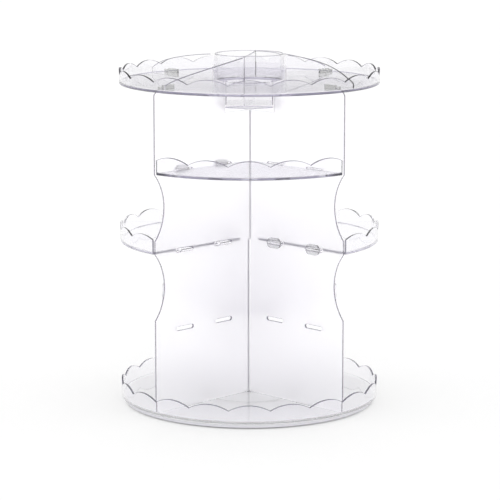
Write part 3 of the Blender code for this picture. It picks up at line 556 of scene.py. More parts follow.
def slice_off(bm, point, outward):
    """Cuts away what lies outward of a plane and closes the cut."""
    def on_plane(corner):
        return abs((corner.co - point).dot(outward)) < NEAR
    geometry = bm.verts[:] + bm.edges[:] + bm.faces[:]
    bmesh.ops.bisect_plane(bm, geom=geometry, dist=WELD, plane_co=point, plane_no=outward, clear_outer=True)
    cut = [edge for edge in bm.edges if edge.is_boundary and all(on_plane(end) for end in edge.verts)]
    bmesh.ops.contextual_create(bm, geom=cut)


def through_board(bm, side, radius, reach):
    """A flat bar from inside the shelf's floor, out through the board on one side of the shelf."""
    along = on_azimuth(1.0, side * BOARD_AZIMUTH)
    outward = on_azimuth(1.0, side * (BOARD_AZIMUTH + 90.0))
    start = -SHELF_SIDE_OFFSET - TONGUE_ROOT
    corners = []
    for offset, distance in ((-0.5, start), (0.5, start), (0.5, reach), (-0.5, reach)):
        corners.append(along * (radius + offset * TONGUE_WIDTH) + outward * distance - UP * TONGUE_DROP)
    prism(bm, corners, UP * TONGUE_THICKNESS)
    bmesh.ops.recalc_face_normals(bm, faces=bm.faces[:])
    tip = [edge for edge in bm.edges if all(end.co.dot(outward) > reach - NEAR for end in edge.verts)]
    round_edges(bm, tip, TONGUE_EDGE_ROUND, EDGE_STEPS)


def hook_head(bm, radius):
    """The upright oval head that lies against the far face of the board."""
    corner = HOOK_HEAD_HEIGHT / 2
    straight = HOOK_HEAD_WIDTH / 2 - corner
    middle = TONGUE_THICKNESS / 2 - TONGUE_DROP
    first = bm.verts.new((radius + straight, 0.0, middle - corner))
    last = arc_to(bm, first, (radius + straight, middle), math.pi, END_STEPS)
    last = line_to(bm, last, radius - straight, middle + corner)
    last = arc_to(bm, last, (radius - straight, middle), math.pi, END_STEPS)
    bm.edges.new((last, first))
    extrude_plate(bm, HOOK_HEAD_THICKNESS)
    outer = [edge for edge in bm.edges if all(end.co.y < 0.0 for end in edge.verts)]
    outer = [edge for edge in outer if edge.calc_face_angle(0.0) > SQUARE_EDGE_ANGLE]
    round_edges(bm, outer, HOOK_HEAD_ROUND, FINE_EDGE_STEPS)
    near = BOARD_THICKNESS / 2 + SEAT_GAP + HOOK_HEAD_THICKNESS / 2
    bmesh.ops.translate(bm, verts=bm.verts[:], vec=(0.0, -near, 0.0))
    turn_about_axis(bm, -BOARD_AZIMUTH - 90.0)


def build_shelf_blank():
    """The quarter shelf about the front azimuth, its underside at height 0, with its hooks and tongues."""
    bm = bmesh.new()
    step_angle = 360.0 / SCALLOP_COUNT / SCALLOP_STEPS
    steps = 2 * math.ceil(BOARD_AZIMUTH / step_angle + SHELF_SPARE_STEPS)
    last = bm.verts.new((0.0, 0.0, FLOOR_THICKNESS))
    last = draw_wall(bm, last, SHELF_RIM_HEIGHT)
    line_to(bm, last, 0.0, 0.0)
    turn_about_axis(bm, -90.0 - step_angle * steps / 2)
    spin_section(bm, steps, math.radians(step_angle * steps))
    shape_rim(bm, SHELF_RIM_HEIGHT)
    for side in (-1, 1):
        outward = on_azimuth(1.0, side * (BOARD_AZIMUTH + 90.0))
        slice_off(bm, -outward * SHELF_SIDE_OFFSET, outward)
    tip_azimuth = BOARD_AZIMUTH - math.degrees(math.asin(SHELF_SIDE_OFFSET / SHELF_TIP_RADIUS))
    tip = on_azimuth(SHELF_TIP_RADIUS * math.cos(math.radians(tip_azimuth)), 0.0)
    slice_off(bm, tip, BACK)
    shelf = new_piece(bm, "shelf_blank")
    for radius in SLOT_RADII:
        tongue = bmesh.new()
        through_board(tongue, 1, radius, BOARD_THICKNESS / 2 + TONGUE_REACH)
        combine(shelf, tongue, "UNION")
        neck = bmesh.new()
        through_board(neck, -1, radius, BOARD_THICKNESS / 2 + SEAT_GAP + HOOK_HEAD_THICKNESS / 2)
        combine(shelf, neck, "UNION")
        head = bmesh.new()
        hook_head(head, radius)
        combine(shelf, head, "UNION")
    mesh = shelf.data
    bpy.data.objects.remove(shelf, do_unlink=True)
    return mesh


def build_shelf(blank, name, azimuth, height):
    """One of the four shelves, turned and lifted to its place in the mesh itself."""
    shelf = bpy.data.objects.new(name, blank.copy())
    bpy.context.collection.objects.link(shelf)
    shelf.data.transform(Matrix.Translation(UP * height) @ Matrix.Rotation(math.radians(azimuth), 4, "Z"))
    smooth(shelf)
    return shelf


# Crossed boards

def draw_waist(bm, last, low, high):
    """Draws the hollow in a board's edge between two shelf levels."""
    half_chord = (high - low) / 2
    radius = (half_chord ** 2 + WAIST_DEPTH ** 2) / (2 * WAIST_DEPTH)
    half_angle = math.asin(half_chord / radius)
    last = line_to(bm, last, BOARD_RADIUS, low)
    centre = (BOARD_RADIUS - WAIST_DEPTH + radius, (low + high) / 2)
    return arc_to(bm, last, centre, -2 * half_angle, WAIST_STEPS)


def draw_slot(bm, radius, height):
    corner = SLOT_HEIGHT / 2
    straight = SLOT_LENGTH / 2 - corner
    first = bm.verts.new((radius + straight, 0.0, height - corner))
    last = arc_to(bm, first, (radius + straight, height), math.pi, END_STEPS)
    last = line_to(bm, last, radius - straight, height + corner)
    last = arc_to(bm, last, (radius - straight, height), math.pi, END_STEPS)
    bm.edges.new((last, first))


def build_board(name, azimuth, lap_from_top):
    """One board through the axis, drawn by half and mirrored, with its half-lap slot open at one end."""
    rim_cusp = BASE_UNDERSIDE + BASE_RIM_HEIGHT + RIM_EDGE_ROUND + SEAT_GAP
    foot_end = BASE_UNDERSIDE + SEAT_GAP
    half_slot = BOARD_SLOT_WIDTH / 2
    tab_end = TOP_TAB_RADIUS + TOP_TAB_LENGTH
    prong_start = tab_end + TOP_TAB_SLIT
    prong_end = prong_start + TOP_PRONG_LENGTH
    tab_top = TOP_FLOOR + TOP_TAB_STAND
    prong_top = TOP_FLOOR + TOP_PRONG_STAND
    bm = bmesh.new()
    if lap_from_top:
        corners = [(0.0, BOARD_BOTTOM), (FOOT_TAB_RADIUS, BOARD_BOTTOM)]
    else:
        lap_end = HALF_LAP_HEIGHT + SEAT_GAP / 2
        corners = [(0.0, lap_end), (half_slot, lap_end), (half_slot, BOARD_BOTTOM)]
        corners.append((FOOT_TAB_RADIUS, BOARD_BOTTOM))
    corners += [
        (FOOT_TAB_RADIUS, foot_end),
        (FOOT_TAB_RADIUS + FOOT_TAB_LENGTH, foot_end),
        (FOOT_TAB_RADIUS + FOOT_TAB_LENGTH, BOARD_BOTTOM),
        (BOARD_FOOT_RADIUS, BOARD_BOTTOM),
        (BOARD_FOOT_RADIUS, rim_cusp),
        (BOARD_RADIUS, rim_cusp),
    ]
    last = draw(bm, corners)[1]
    for low, high in zip(LEVELS, LEVELS[1:]):
        last = draw_waist(bm, last, low + SHELF_RIM_HEIGHT, high)
    last = line_to(bm, last, BOARD_RADIUS, BOARD_TOP - BOARD_CORNER)
    corner_centre = (BOARD_RADIUS - BOARD_CORNER, BOARD_TOP - BOARD_CORNER)
    last = arc_to(bm, last, corner_centre, QUARTER_TURN, CORNER_STEPS)
    for along, height in (
        (prong_end, BOARD_TOP),
        (prong_end, prong_top),
        (prong_start, prong_top),
        (prong_start, BOARD_TOP),
        (tab_end, BOARD_TOP),
        (tab_end, tab_top),
        (TOP_TAB_RADIUS, tab_top),
        (TOP_TAB_RADIUS, BOARD_TOP),
        (NOTCH_RADIUS, BOARD_TOP),
        (NOTCH_RADIUS, NOTCH_BOTTOM),
    ):
        last = line_to(bm, last, along, height)
    if lap_from_top:
        lap_end = HALF_LAP_HEIGHT - SEAT_GAP / 2
        last = line_to(bm, last, half_slot, NOTCH_BOTTOM)
        last = line_to(bm, last, half_slot, lap_end)
        line_to(bm, last, 0.0, lap_end)
    else:
        line_to(bm, last, 0.0, NOTCH_BOTTOM)
    for level in LEVELS:
        for radius in SLOT_RADII:
            draw_slot(bm, radius, level - TONGUE_DROP - SEAT_GAP + SLOT_HEIGHT / 2)
    half = bm.verts[:] + bm.edges[:]
    bmesh.ops.mirror(bm, geom=half, matrix=Matrix.Identity(4), merge_dist=NEAR, axis="X")
    bmesh.ops.remove_doubles(bm, verts=bm.verts[:], dist=WELD)
    extrude_plate(bm, BOARD_THICKNESS)
    chamfer_plate(bm, BOARD_EDGE_CHAMFER)
    turn_about_axis(bm, azimuth - 90.0)
    board = new_piece(bm, name)
    smooth(board)
    return board


# Top tray fittings

def build_brush_cup():
    """A round cup whose shoulder rests on the top tray and whose lower part hangs in the boards' notch."""
    lower_bore = CUP_LOWER_RADIUS - CUP_WALL
    upper_bore = CUP_RADIUS - CUP_WALL
    bm = bmesh.new()
    draw(bm, [
        (0.0, CUP_BOTTOM),
        (CUP_LOWER_RADIUS, CUP_BOTTOM),
        (CUP_LOWER_RADIUS, CUP_SEAT),
        (CUP_RADIUS, CUP_SEAT),
        (CUP_RADIUS, CUP_TOP),
        (upper_bore, CUP_TOP),
        (upper_bore, CUP_SEAT + CUP_SHOULDER),
        (lower_bore, CUP_SEAT),
        (lower_bore, CUP_BOTTOM + CUP_FLOOR),
        (0.0, CUP_BOTTOM + CUP_FLOOR),
    ])
    spin_section(bm, ROUND_STEPS)
    lip = ring_edges(bm, CUP_RADIUS, CUP_TOP) + ring_edges(bm, upper_bore, CUP_TOP)
    foot = ring_edges(bm, CUP_LOWER_RADIUS, CUP_BOTTOM)
    foot += ring_edges(bm, lower_bore, CUP_BOTTOM + CUP_FLOOR)
    round_edges(bm, lip + foot, CUP_EDGE_ROUND, FINE_EDGE_STEPS)
    cup = new_piece(bm, "brush_cup_clear")
    smooth(cup)
    return cup


def build_cup_partition():
    """A flat wall that stands in the cup and halves it, in line with two of the blades."""
    lower = CUP_LOWER_RADIUS - CUP_WALL - SEAT_GAP
    upper = CUP_RADIUS - CUP_WALL - SEAT_GAP
    foot = CUP_BOTTOM + CUP_FLOOR + CUP_EDGE_ROUND
    slope_low = CUP_SEAT + SEAT_GAP
    bm = bmesh.new()
    first, last = draw(bm, [
        (lower, foot),
        (lower, slope_low),
        (upper, slope_low + CUP_SHOULDER),
        (upper, PARTITION_TOP),
        (-upper, PARTITION_TOP),
        (-upper, slope_low + CUP_SHOULDER),
        (-lower, slope_low),
        (-lower, foot),
    ])
    bm.edges.new((last, first))
    extrude_plate(bm, PARTITION_THICKNESS)
    chamfer_plate(bm, BOARD_EDGE_CHAMFER)
    turn_about_axis(bm, PARTITION_AZIMUTH - 90.0)
    partition = new_piece(bm, "cup_partition_clear")
    smooth(partition)
    return partition


def blade_place(fraction):
    """Radius, azimuth and height of a blade's top, from the collar (0) to the rim (1)."""
    radius = BLADE_ROOT_RADIUS + (BLADE_END_RADIUS - BLADE_ROOT_RADIUS) * fraction
    azimuth = BLADE_RIM_AZIMUTH + BLADE_SWEEP * (1.0 - fraction) ** BLADE_SWEEP_POWER
    fall = (1.0 - fraction ** BLADE_FALL_POWER) ** (1.0 / BLADE_CROWN_POWER)
    return radius, azimuth, BLADE_OUTER_HEIGHT + (BLADE_INNER_HEIGHT - BLADE_OUTER_HEIGHT) * fall


def blade(bm, turn):
    """One curved blade: an upright edge carried from the collar to the rim, then given its thickness."""
    edges = []
    for step in range(BLADE_STEPS + 1):
        radius, azimuth, height = blade_place(1.0 - (1.0 - step / BLADE_STEPS) ** BLADE_STEP_POWER)
        foot = on_azimuth(radius, azimuth + turn, CUP_SEAT)
        lifts = (0.0, height - 2 * BLADE_TOP_BAND, height)
        if edges:
            grown = bmesh.ops.extrude_edge_only(bm, edges=edges)
            column = [part for part in grown["geom"] if isinstance(part, bmesh.types.BMVert)]
            edges = [part for part in grown["geom"] if isinstance(part, bmesh.types.BMEdge)]
            column.sort(key=lambda corner: corner.co.z)
            for corner, lift in zip(column, lifts):
                corner.co = foot + UP * lift
        else:
            column = [bm.verts.new(foot + UP * lift) for lift in lifts]
            edges = [bm.edges.new(pair) for pair in zip(column, column[1:])]
    bmesh.ops.recalc_face_normals(bm, faces=bm.faces[:])
    sheet = bm.faces[:]
    for corner in bm.verts:
        corner.normal_update()
    for corner in bm.verts:
        corner.co -= corner.normal * (BLADE_THICKNESS / 2)
    bmesh.ops.solidify(bm, geom=sheet, thickness=-BLADE_THICKNESS)
    bmesh.ops.recalc_face_normals(bm, faces=bm.faces[:])


def build_top_divider():
    """The collar round the cup, with four blades that curve out to the rim like a pinwheel."""
    bm = bmesh.new()
    first, last = draw(bm, [
        (COLLAR_BORE_RADIUS, CUP_SEAT),
        (COLLAR_RADIUS, CUP_SEAT),
        (COLLAR_RADIUS, COLLAR_TOP),
        (COLLAR_BORE_RADIUS, COLLAR_TOP),
    ])
    bm.edges.new((last, first))
    spin_section(bm, ROUND_STEPS)
    divider = new_piece(bm, "top_divider_clear")
    for index in range(BLADE_COUNT):
        tool = bmesh.new()
        blade(tool, 360.0 * index / BLADE_COUNT)
        combine(divider, tool, "UNION")
    smooth(divider)
    return divider


# Foot

def build_foot_plate():
    """The fixed disc under the turning part, dished up at its centre, with pockets for the pads."""
    groove = BALL_HEIGHT - FOOT_TOP
    half_groove = math.sqrt(TRACK_ROUND ** 2 - groove ** 2)
    groove_angle = 2 * math.acos(groove / TRACK_ROUND)
    bm = bmesh.new()
    first, last = draw(bm, [
        (HUB_BORE_RADIUS, HUB_UNDERSIDE),
        (FOOT_DISH_RADIUS, HUB_UNDERSIDE),
        (FOOT_DISH_RADIUS + FOOT_DISH_SLOPE, FOOT_UNDERSIDE),
        (FOOT_RADIUS, FOOT_UNDERSIDE),
        (FOOT_RADIUS, FOOT_TOP),
        (TRACK_MIDDLE_RADIUS + half_groove, FOOT_TOP),
    ])
    last = arc_to(bm, last, (TRACK_MIDDLE_RADIUS, BALL_HEIGHT), -groove_angle, END_STEPS)
    last = line_to(bm, last, FOOT_DISH_RADIUS + 2 * FOOT_DISH_SLOPE, FOOT_TOP)
    last = line_to(bm, last, FOOT_DISH_RADIUS + FOOT_DISH_SLOPE, HUB_TOP)
    last = line_to(bm, last, HUB_BORE_RADIUS, HUB_TOP)
    bm.edges.new((last, first))
    spin_section(bm, ROUND_STEPS)
    round_edges(bm, ring_edges(bm, FOOT_RADIUS, FOOT_TOP), FOOT_EDGE_ROUND, EDGE_STEPS)
    plate = new_piece(bm, "foot_plate_white")
    pockets = bmesh.new()
    pocket_top = FOOT_UNDERSIDE + PAD_POCKET_DEPTH
    for index in range(PAD_COUNT):
        centre = on_azimuth(PAD_RING_RADIUS, BOARD_AZIMUTH + 360.0 * index / PAD_COUNT)
        upright_cylinder(pockets, centre, PAD_RADIUS + SEAT_GAP, FOOT_UNDERSIDE - MM, pocket_top)
    combine(plate, pockets, "DIFFERENCE")
    smooth(plate)
    return plate


# Finishes

def node_material(name):
    material = bpy.data.materials.new(name)
    material.use_nodes = True
    return material, material.node_tree.nodes["Principled BSDF"]


def add_noise(tree, scale, detail):
    """A noise pattern on the piece's own place in metres."""
    place = tree.nodes.new("ShaderNodeTexCoord")
    noise = tree.nodes.new("ShaderNodeTexNoise")
    noise.inputs["Scale"].default_value = scale
    noise.inputs["Detail"].default_value = detail
    tree.links.new(place.outputs["Object"], noise.inputs["Vector"])
    return noise


def spread(tree, noise, socket, low, high):
    """Lets a noise pattern move a value between two limits."""
    remap = tree.nodes.new("ShaderNodeMapRange")
    remap.inputs["From Min"].default_value = NOISE_LOW
    remap.inputs["From Max"].default_value = NOISE_HIGH
    remap.inputs["To Min"].default_value = low
    remap.inputs["To Max"].default_value = high
    tree.links.new(noise.outputs["Fac"], remap.inputs["Value"])
    tree.links.new(remap.outputs["Result"], socket)


def add_bump(tree, noise, shader, strength, distance):
    bump = tree.nodes.new("ShaderNodeBump")
    bump.inputs["Strength"].default_value = strength
    bump.inputs["Distance"].default_value = distance
    tree.links.new(noise.outputs["Fac"], bump.inputs["Height"])
    tree.links.new(bump.outputs["Normal"], shader.inputs["Normal"])


def vary_colour(tree, noise, socket, first, second):
    """Lets a noise pattern move a colour between two others."""
    blend = tree.nodes.new("ShaderNodeMix")
    blend.data_type = "RGBA"
    blend.inputs["A"].default_value = (*first, 1.0)
    blend.inputs["B"].default_value = (*second, 1.0)
    tree.links.new(noise.outputs["Fac"], blend.inputs["Factor"])
    tree.links.new(blend.outputs["Result"], socket)


def reckon(tree, operation, first, second):
    """A sum on two sockets, or on a socket and a number."""
    node = tree.nodes.new("ShaderNodeMath")
    node.operation = operation
    tree.links.new(first, node.inputs[0])
    if isinstance(second, float):
        node.inputs[1].default_value = second
    else:
        tree.links.new(second, node.inputs[1])
    return node.outputs["Value"]


def pass_light(tree, shader, share):
    """Lets the studio's light straight through a piece, so that what lies behind and under it is lit."""
    path = tree.nodes.new("ShaderNodeLightPath")
    opening = tree.nodes.new("ShaderNodeBsdfTransparent")
    opening.inputs["Color"].default_value = (share, share, share, 1.0)
    surface = shader.outputs["BSDF"]
    for ray in ("Is Diffuse Ray", "Is Shadow Ray"):
        choice = tree.nodes.new("ShaderNodeMixShader")
        tree.links.new(path.outputs[ray], choice.inputs["Fac"])
        tree.links.new(surface, choice.inputs[1])
        tree.links.new(opening.outputs["BSDF"], choice.inputs[2])
        surface = choice.outputs["Shader"]
    tree.links.new(surface, tree.nodes["Material Output"].inputs["Surface"])


def see_through(name, tint, deep_tint, index, clouds, passes):
    """A plastic that light goes through, its tint varied by a noise pattern."""
    material, shader = node_material(name)
    tree = material.node_tree
    shader.inputs["Transmission Weight"].default_value = 1.0
    shader.inputs["IOR"].default_value = index
    pattern = add_noise(tree, *clouds)
    vary_colour(tree, pattern, shader.inputs["Base Color"], tint, deep_tint)
    pass_light(tree, shader, passes)
    return material, shader, pattern


def clear_plastic(name, tint, deep_tint, index):
    """Clear moulded polystyrene: faintly lavender, with the slow waves of a moulding and a trace of haze."""
    material, shader, waves = see_through(name, tint, deep_tint, index, MOULDING_WAVES, CLEAR_PASSES)
    tree = material.node_tree
    haze = add_noise(tree, *MOULDING_HAZE)
    spread(tree, haze, shader.inputs["Roughness"], *CLEAR_ROUGHNESS)
    add_bump(tree, waves, shader, *WAVE_BUMP)
    return material


def frosted_plastic(name, tint, deep_tint, rough_low, rough_high, index):
    """Sheet with a fine matt grain that lets light through and blurs what lies behind it."""
    material, shader, clouds = see_through(name, tint, deep_tint, index, FROST_CLOUDS, FROST_PASSES)
    tree = material.node_tree
    grain = add_noise(tree, *FROST_GRAIN)
    spread(tree, clouds, shader.inputs["Roughness"], rough_low, rough_high)
    add_bump(tree, grain, shader, *FROST_BUMP)
    return material


def solid_plastic(name, colour, second, rough_low, rough_high):
    material, shader = node_material(name)
    tree = material.node_tree
    clouds = add_noise(tree, *SOLID_CLOUDS)
    grain = add_noise(tree, *SOLID_GRAIN)
    vary_colour(tree, clouds, shader.inputs["Base Color"], colour, second)
    spread(tree, clouds, shader.inputs["Roughness"], rough_low, rough_high)
    add_bump(tree, grain, shader, *SOLID_BUMP)
    return material


def deepen(material, share, colour):
    """Mixes a deeper colour into a material's own by a share."""
    tree = material.node_tree
    own = tree.nodes["Principled BSDF"].inputs["Base Color"]
    blend = tree.nodes.new("ShaderNodeMix")
    blend.data_type = "RGBA"
    blend.inputs["B"].default_value = (*colour, 1.0)
    tree.links.new(share, blend.inputs["Factor"])
    tree.links.new(own.links[0].from_socket, blend.inputs["A"])
    tree.links.new(blend.outputs["Result"], own)


def deepen_and_shade_at_a_slant(material, colour):
    """Deepens clear plastic's tint at a slant, round its outline: partly a longer path, partly painted shade.
    """
    tree = material.node_tree
    slant = tree.nodes.new("ShaderNodeLayerWeight")
    remap = tree.nodes.new("ShaderNodeMapRange")
    remap.inputs["From Min"].default_value = SLANT_START
    tree.links.new(slant.outputs["Facing"], remap.inputs["Value"])
    deepen(material, remap.outputs["Result"], colour)


def paint_shade_by_place(material, colour, *ranges):
    """Paints shade into a material where its radius or height comes near each range's second value."""
    tree = material.node_tree
    place = tree.nodes.new("ShaderNodeTexCoord")
    split = tree.nodes.new("ShaderNodeSeparateXYZ")
    across = tree.nodes.new("ShaderNodeVectorMath")
    across.operation = "MULTIPLY"
    across.inputs[1].default_value = (1.0, 1.0, 0.0)
    radius = tree.nodes.new("ShaderNodeVectorMath")
    radius.operation = "LENGTH"
    tree.links.new(place.outputs["Object"], across.inputs[0])
    tree.links.new(across.outputs["Vector"], radius.inputs[0])
    tree.links.new(place.outputs["Object"], split.inputs[0])
    sockets = {"radius": radius.outputs["Value"], "height": split.outputs["Z"]}
    share = None
    for measure, plain_at, deep_at in ranges:
        remap = tree.nodes.new("ShaderNodeMapRange")
        remap.interpolation_type = "SMOOTHSTEP"
        remap.inputs["From Min"].default_value = plain_at
        remap.inputs["From Max"].default_value = deep_at
        tree.links.new(sockets[measure], remap.inputs["Value"])
        part = remap.outputs["Result"]
        share = part if share is None else reckon(tree, "MULTIPLY", share, part)
    deepen(material, share, colour)


def make_finishes():
    """Every material by its name."""
    finishes = {}
    for make, table in (
        (clear_plastic, CLEAR_FINISHES), (frosted_plastic, FROSTED_FINISHES), (solid_plastic, SOLID_FINISHES),
    ):
        for name, values in table.items():
            finishes[name] = make(name, *values)
    steel = finishes["bearing_steel"].node_tree.nodes["Principled BSDF"]
    steel.inputs["Metallic"].default_value = 1.0
    # Painted shade round the cup's outline, in the base tray's middle, on the front shelf's ends and the
    # boards
    deepen_and_shade_at_a_slant(finishes["cup_clear"], CUP_OUTLINE_TINT_AND_SHADE)
    base_middle_shade = ("radius", FLOOR_SHADE_RADIUS, FLOOR_SHADE_FULL)
    paint_shade_by_place(finishes["base_clear"], BASE_MIDDLE_PAINTED_SHADE, base_middle_shade)
    paint_shade_by_place(finishes["end_dark"], END_RIM_PAINTED_SHADE, ("radius", END_SHADE_START, END_SHADE_FULL))
    paint_shade_by_place(
        finishes["board_frost"], BOARD_CORNER_PAINTED_SHADE, ("radius", CORNER_SHADE_RADIUS, 0.0),
        ("height", CORNER_SHADE_TOP, CORNER_SHADE_FULL), ("height", 0.0, LEVELS[0]),
    )
    return finishes


# Which faces get a second finish

def give_faces(piece, material, chosen):
    """Gives some of a piece's faces a second material."""
    piece.data.materials.append(material)
    slot = len(piece.data.materials) - 1
    for face in piece.data.polygons:
        if chosen(face):
            face.material_index = slot


def underside_of_base(face):
    inside = face.center.xy.length < TRAY_RADIUS - TRAY_FOOT_ROUND
    return inside and face.normal.z < 0.0 and face.center.z < BASE_UNDERSIDE + MM


def rim_of_tray(underside, rim_height):
    """Picks the flat top and the outer rounding of a tray's rim."""
    low = underside + rim_height - 2 * RIM_EDGE_ROUND

    def chosen(face):
        outward = face.normal.xy.dot(face.center.xy.normalized())
        return face.center.z > low and face.normal.z > RIM_LEAST_UP and outward > RIM_LEAST_OUT
    return chosen


def foot_of_tray(underside):
    """Picks the outer edge of a tray's floor with the rounding under it."""
    high = underside + FLOOR_THICKNESS
    return lambda face: underside < face.center.z < high and face.center.xy.length > TRAY_INNER_RADIUS


def floor_of_shelf(underside):
    """Picks the two flat sides of a shelf's floor."""
    low = underside - TONGUE_DROP / 2
    high = underside + FLOOR_THICKNESS + TRAY_INSIDE_ROUND / 2
    return lambda face: abs(face.normal.z) > SAME_WAY and low < face.center.z < high


def end_of_shelf(azimuth, side):
    """Picks a flat end of a quarter shelf beside a board: the left one (-1) or the right one (1)."""
    outward = on_azimuth(1.0, azimuth + side * (BOARD_AZIMUTH + 90.0))

    def chosen(face):
        on_end = abs(face.center.dot(outward) + SHELF_SIDE_OFFSET) < NEAR
        return on_end and face.normal.dot(outward) > SAME_WAY
    return chosen


def hooks_of_shelf(azimuth, outline):
    """Picks the two hook heads on a shelf's left side: their flat faces, or the outline round them."""
    outward = on_azimuth(1.0, azimuth - BOARD_AZIMUTH - 90.0)

    def chosen(face):
        on_head = face.center.dot(outward) > BOARD_THICKNESS / 2 + SEAT_GAP / 2
        return on_head and (abs(face.normal.dot(outward)) < HEAD_FLAT_FROM) == outline
    return chosen


def edge_of_board(azimuth):
    """Picks the faces across a board's thickness, and the chamfers round its slots and its notch too."""
    flat = on_azimuth(1.0, azimuth + 90.0)
    inner = SLOT_RADII[0] - SLOT_LENGTH / 2 - MM
    outer = SLOT_RADII[1] + SLOT_LENGTH / 2 + MM

    def chosen(face):
        within = inner < face.center.xy.length < outer and BASE_FLOOR + MM < face.center.z < BOARD_TOP - MM
        return abs(face.normal.dot(flat)) < (EDGE_WITH_CHAMFER if within else EDGE_ALONE)
    return chosen


def outside_of_cup_foot(face):
    """Picks the rounding round the underside of the brush cup."""
    outer = face.center.xy.length > CUP_LOWER_RADIUS - 2 * CUP_EDGE_ROUND
    return outer and face.center.z < CUP_BOTTOM + CUP_EDGE_ROUND


def front_end_of_partition(face):
    """Picks the upright edge of the partition that faces the front, above the top tray."""
    end = on_azimuth(CUP_LOWER_RADIUS - CUP_WALL - MM, PARTITION_AZIMUTH)
    return face.center.dot(end) > end.length_squared and face.center.z > CUP_SEAT


def top_of_blade(face):
    """Picks a blade's top and narrow band under it, deeper from the side and darker still by painted shade.
    """
    radius = face.center.xy.length
    if radius < COLLAR_RADIUS:
        return False
    fraction = min(1.0, (radius - BLADE_ROOT_RADIUS) / (BLADE_END_RADIUS - BLADE_ROOT_RADIUS))
    return face.center.z > CUP_SEAT + blade_place(fraction)[2] - BLADE_TOP_BAND


# The pieces in their finishes

def show_trays(finishes):
    base_tray = finish(build_base_tray(), "carousel", "base_tray", finishes["base_clear"])
    give_faces(base_tray, finishes["tray_etched"], underside_of_base)
    # Dark rim tops and the top tray's dark floor edge paint the lines these edges show: painted shade
    give_faces(base_tray, finishes["edge_deep"], rim_of_tray(BASE_UNDERSIDE, BASE_RIM_HEIGHT))
    top_tray = finish(build_top_tray(), "carousel", "top_tray", finishes["tray_clear"])
    give_faces(top_tray, finishes["rim_deep"], rim_of_tray(TOP_UNDERSIDE, TOP_RIM_HEIGHT))
    give_faces(top_tray, finishes["side_deep"], foot_of_tray(TOP_UNDERSIDE))
    cup_hole = CUP_HOLE_RADIUS + SEAT_GAP / 2
    give_faces(top_tray, finishes["cup_foot"], lambda face: face.center.xy.length < cup_hole)


def show_shelves(finishes):
    blank = build_shelf_blank()
    for node, azimuth, level in (
        ("shelf_front", 0.0, 2), ("shelf_right", 90.0, 1), ("shelf_back", 180.0, 0), ("shelf_left", 270.0, 1),
    ):
        underside = LEVELS[level]
        shelf = build_shelf(blank, node + "_clear", azimuth, underside)
        finish(shelf, "carousel", node, finishes["tray_clear"])
        # The front shelf gets a dark rim, a grey floor and dark floor edges, the others paler ones: painted
        # shade and painted light
        in_front = node == "shelf_front"
        rim = finishes["edge_deep" if in_front else "rim_pale"]
        give_faces(shelf, rim, rim_of_tray(underside, SHELF_RIM_HEIGHT))
        if in_front:
            give_faces(shelf, finishes["shelf_floor"], floor_of_shelf(underside))
        give_faces(shelf, finishes["shelf_side" if in_front else "side_pale"], foot_of_tray(underside))
        # Ends towards the front get dark opaque finishes, the others a pale clear one: painted shade and
        # painted light
        for side in (-1, 1):
            towards_front = on_azimuth(1.0, azimuth + side * BOARD_AZIMUTH).y < 0.0
            end = "end_dark" if in_front else "end_deep" if towards_front else "end_pale"
            give_faces(shelf, finishes[end], end_of_shelf(azimuth, side))
        # The hook heads of the front and right shelves are greyer, with dark outlines: painted shade
        if node in ("shelf_front", "shelf_right"):
            give_faces(shelf, finishes["head_deep"], hooks_of_shelf(azimuth, False))
            give_faces(shelf, finishes["head_edge"], hooks_of_shelf(azimuth, True))


def show_boards(finishes):
    for node, azimuth, lap_from_top in (
        ("cross_board_a", -BOARD_AZIMUTH, True), ("cross_board_b", BOARD_AZIMUTH, False),
    ):
        board = build_board(node + "_sheet", azimuth, lap_from_top)
        finish(board, "carousel", node, finishes["board_frost"])
        across = edge_of_board(azimuth)
        lap = 2 * BOARD_THICKNESS
        # Dark faces across the boards' thickness, darkest at the axis, paint the lines these edges show:
        # painted shade
        give_faces(board, finishes["board_edge"], across)
        give_faces(board, finishes["lap_deep"], lambda face: face.center.xy.length < lap and across(face))
        give_faces(board, finishes["tab_deep"], lambda face: face.center.z > TOP_UNDERSIDE)


def show_cup_and_divider(finishes):
    cup = finish(build_brush_cup(), "carousel", "brush_cup", finishes["cup_clear"])
    # The dark lip and the dark rounding under the cup paint the lines these edges show: painted shade
    give_faces(cup, finishes["lip_deep"], lambda face: face.center.z > CUP_TOP - CUP_EDGE_ROUND)
    give_faces(cup, finishes["cup_foot"], lambda face: face.center.z < TOP_UNDERSIDE - CUP_EDGE_ROUND)
    give_faces(cup, finishes["cup_foot_edge"], outside_of_cup_foot)
    clear = finishes["partition_clear"]
    partition = finish(build_cup_partition(), "carousel", "cup_partition", clear)
    # The partition's dark near end and dark top paint the lines these edges show: painted shade
    give_faces(partition, finishes["partition_end"], front_end_of_partition)
    partition_edge = PARTITION_TOP - BOARD_EDGE_CHAMFER
    give_faces(partition, finishes["edge_deep"], lambda face: face.center.z > partition_edge)
    divider = finish(build_top_divider(), "carousel", "top_divider", finishes["blade_clear"])
    give_faces(divider, finishes["collar_clear"], lambda face: face.center.xy.length < COLLAR_RADIUS)
    # The blades' dark tops paint the lines these edges show: painted shade
    give_faces(divider, finishes["edge_deep"], top_of_blade)


def show_foot(finishes):
    foot_plate = finish(build_foot_plate(), "foot", "foot_plate", finishes["foot_white"])
    edge = FOOT_RADIUS - FOOT_EDGE_ROUND
    # The plate's edge is darker where the tray overhangs it: painted shade
    give_faces(foot_plate, finishes["foot_edge"], lambda face: face.center.xy.length > edge)


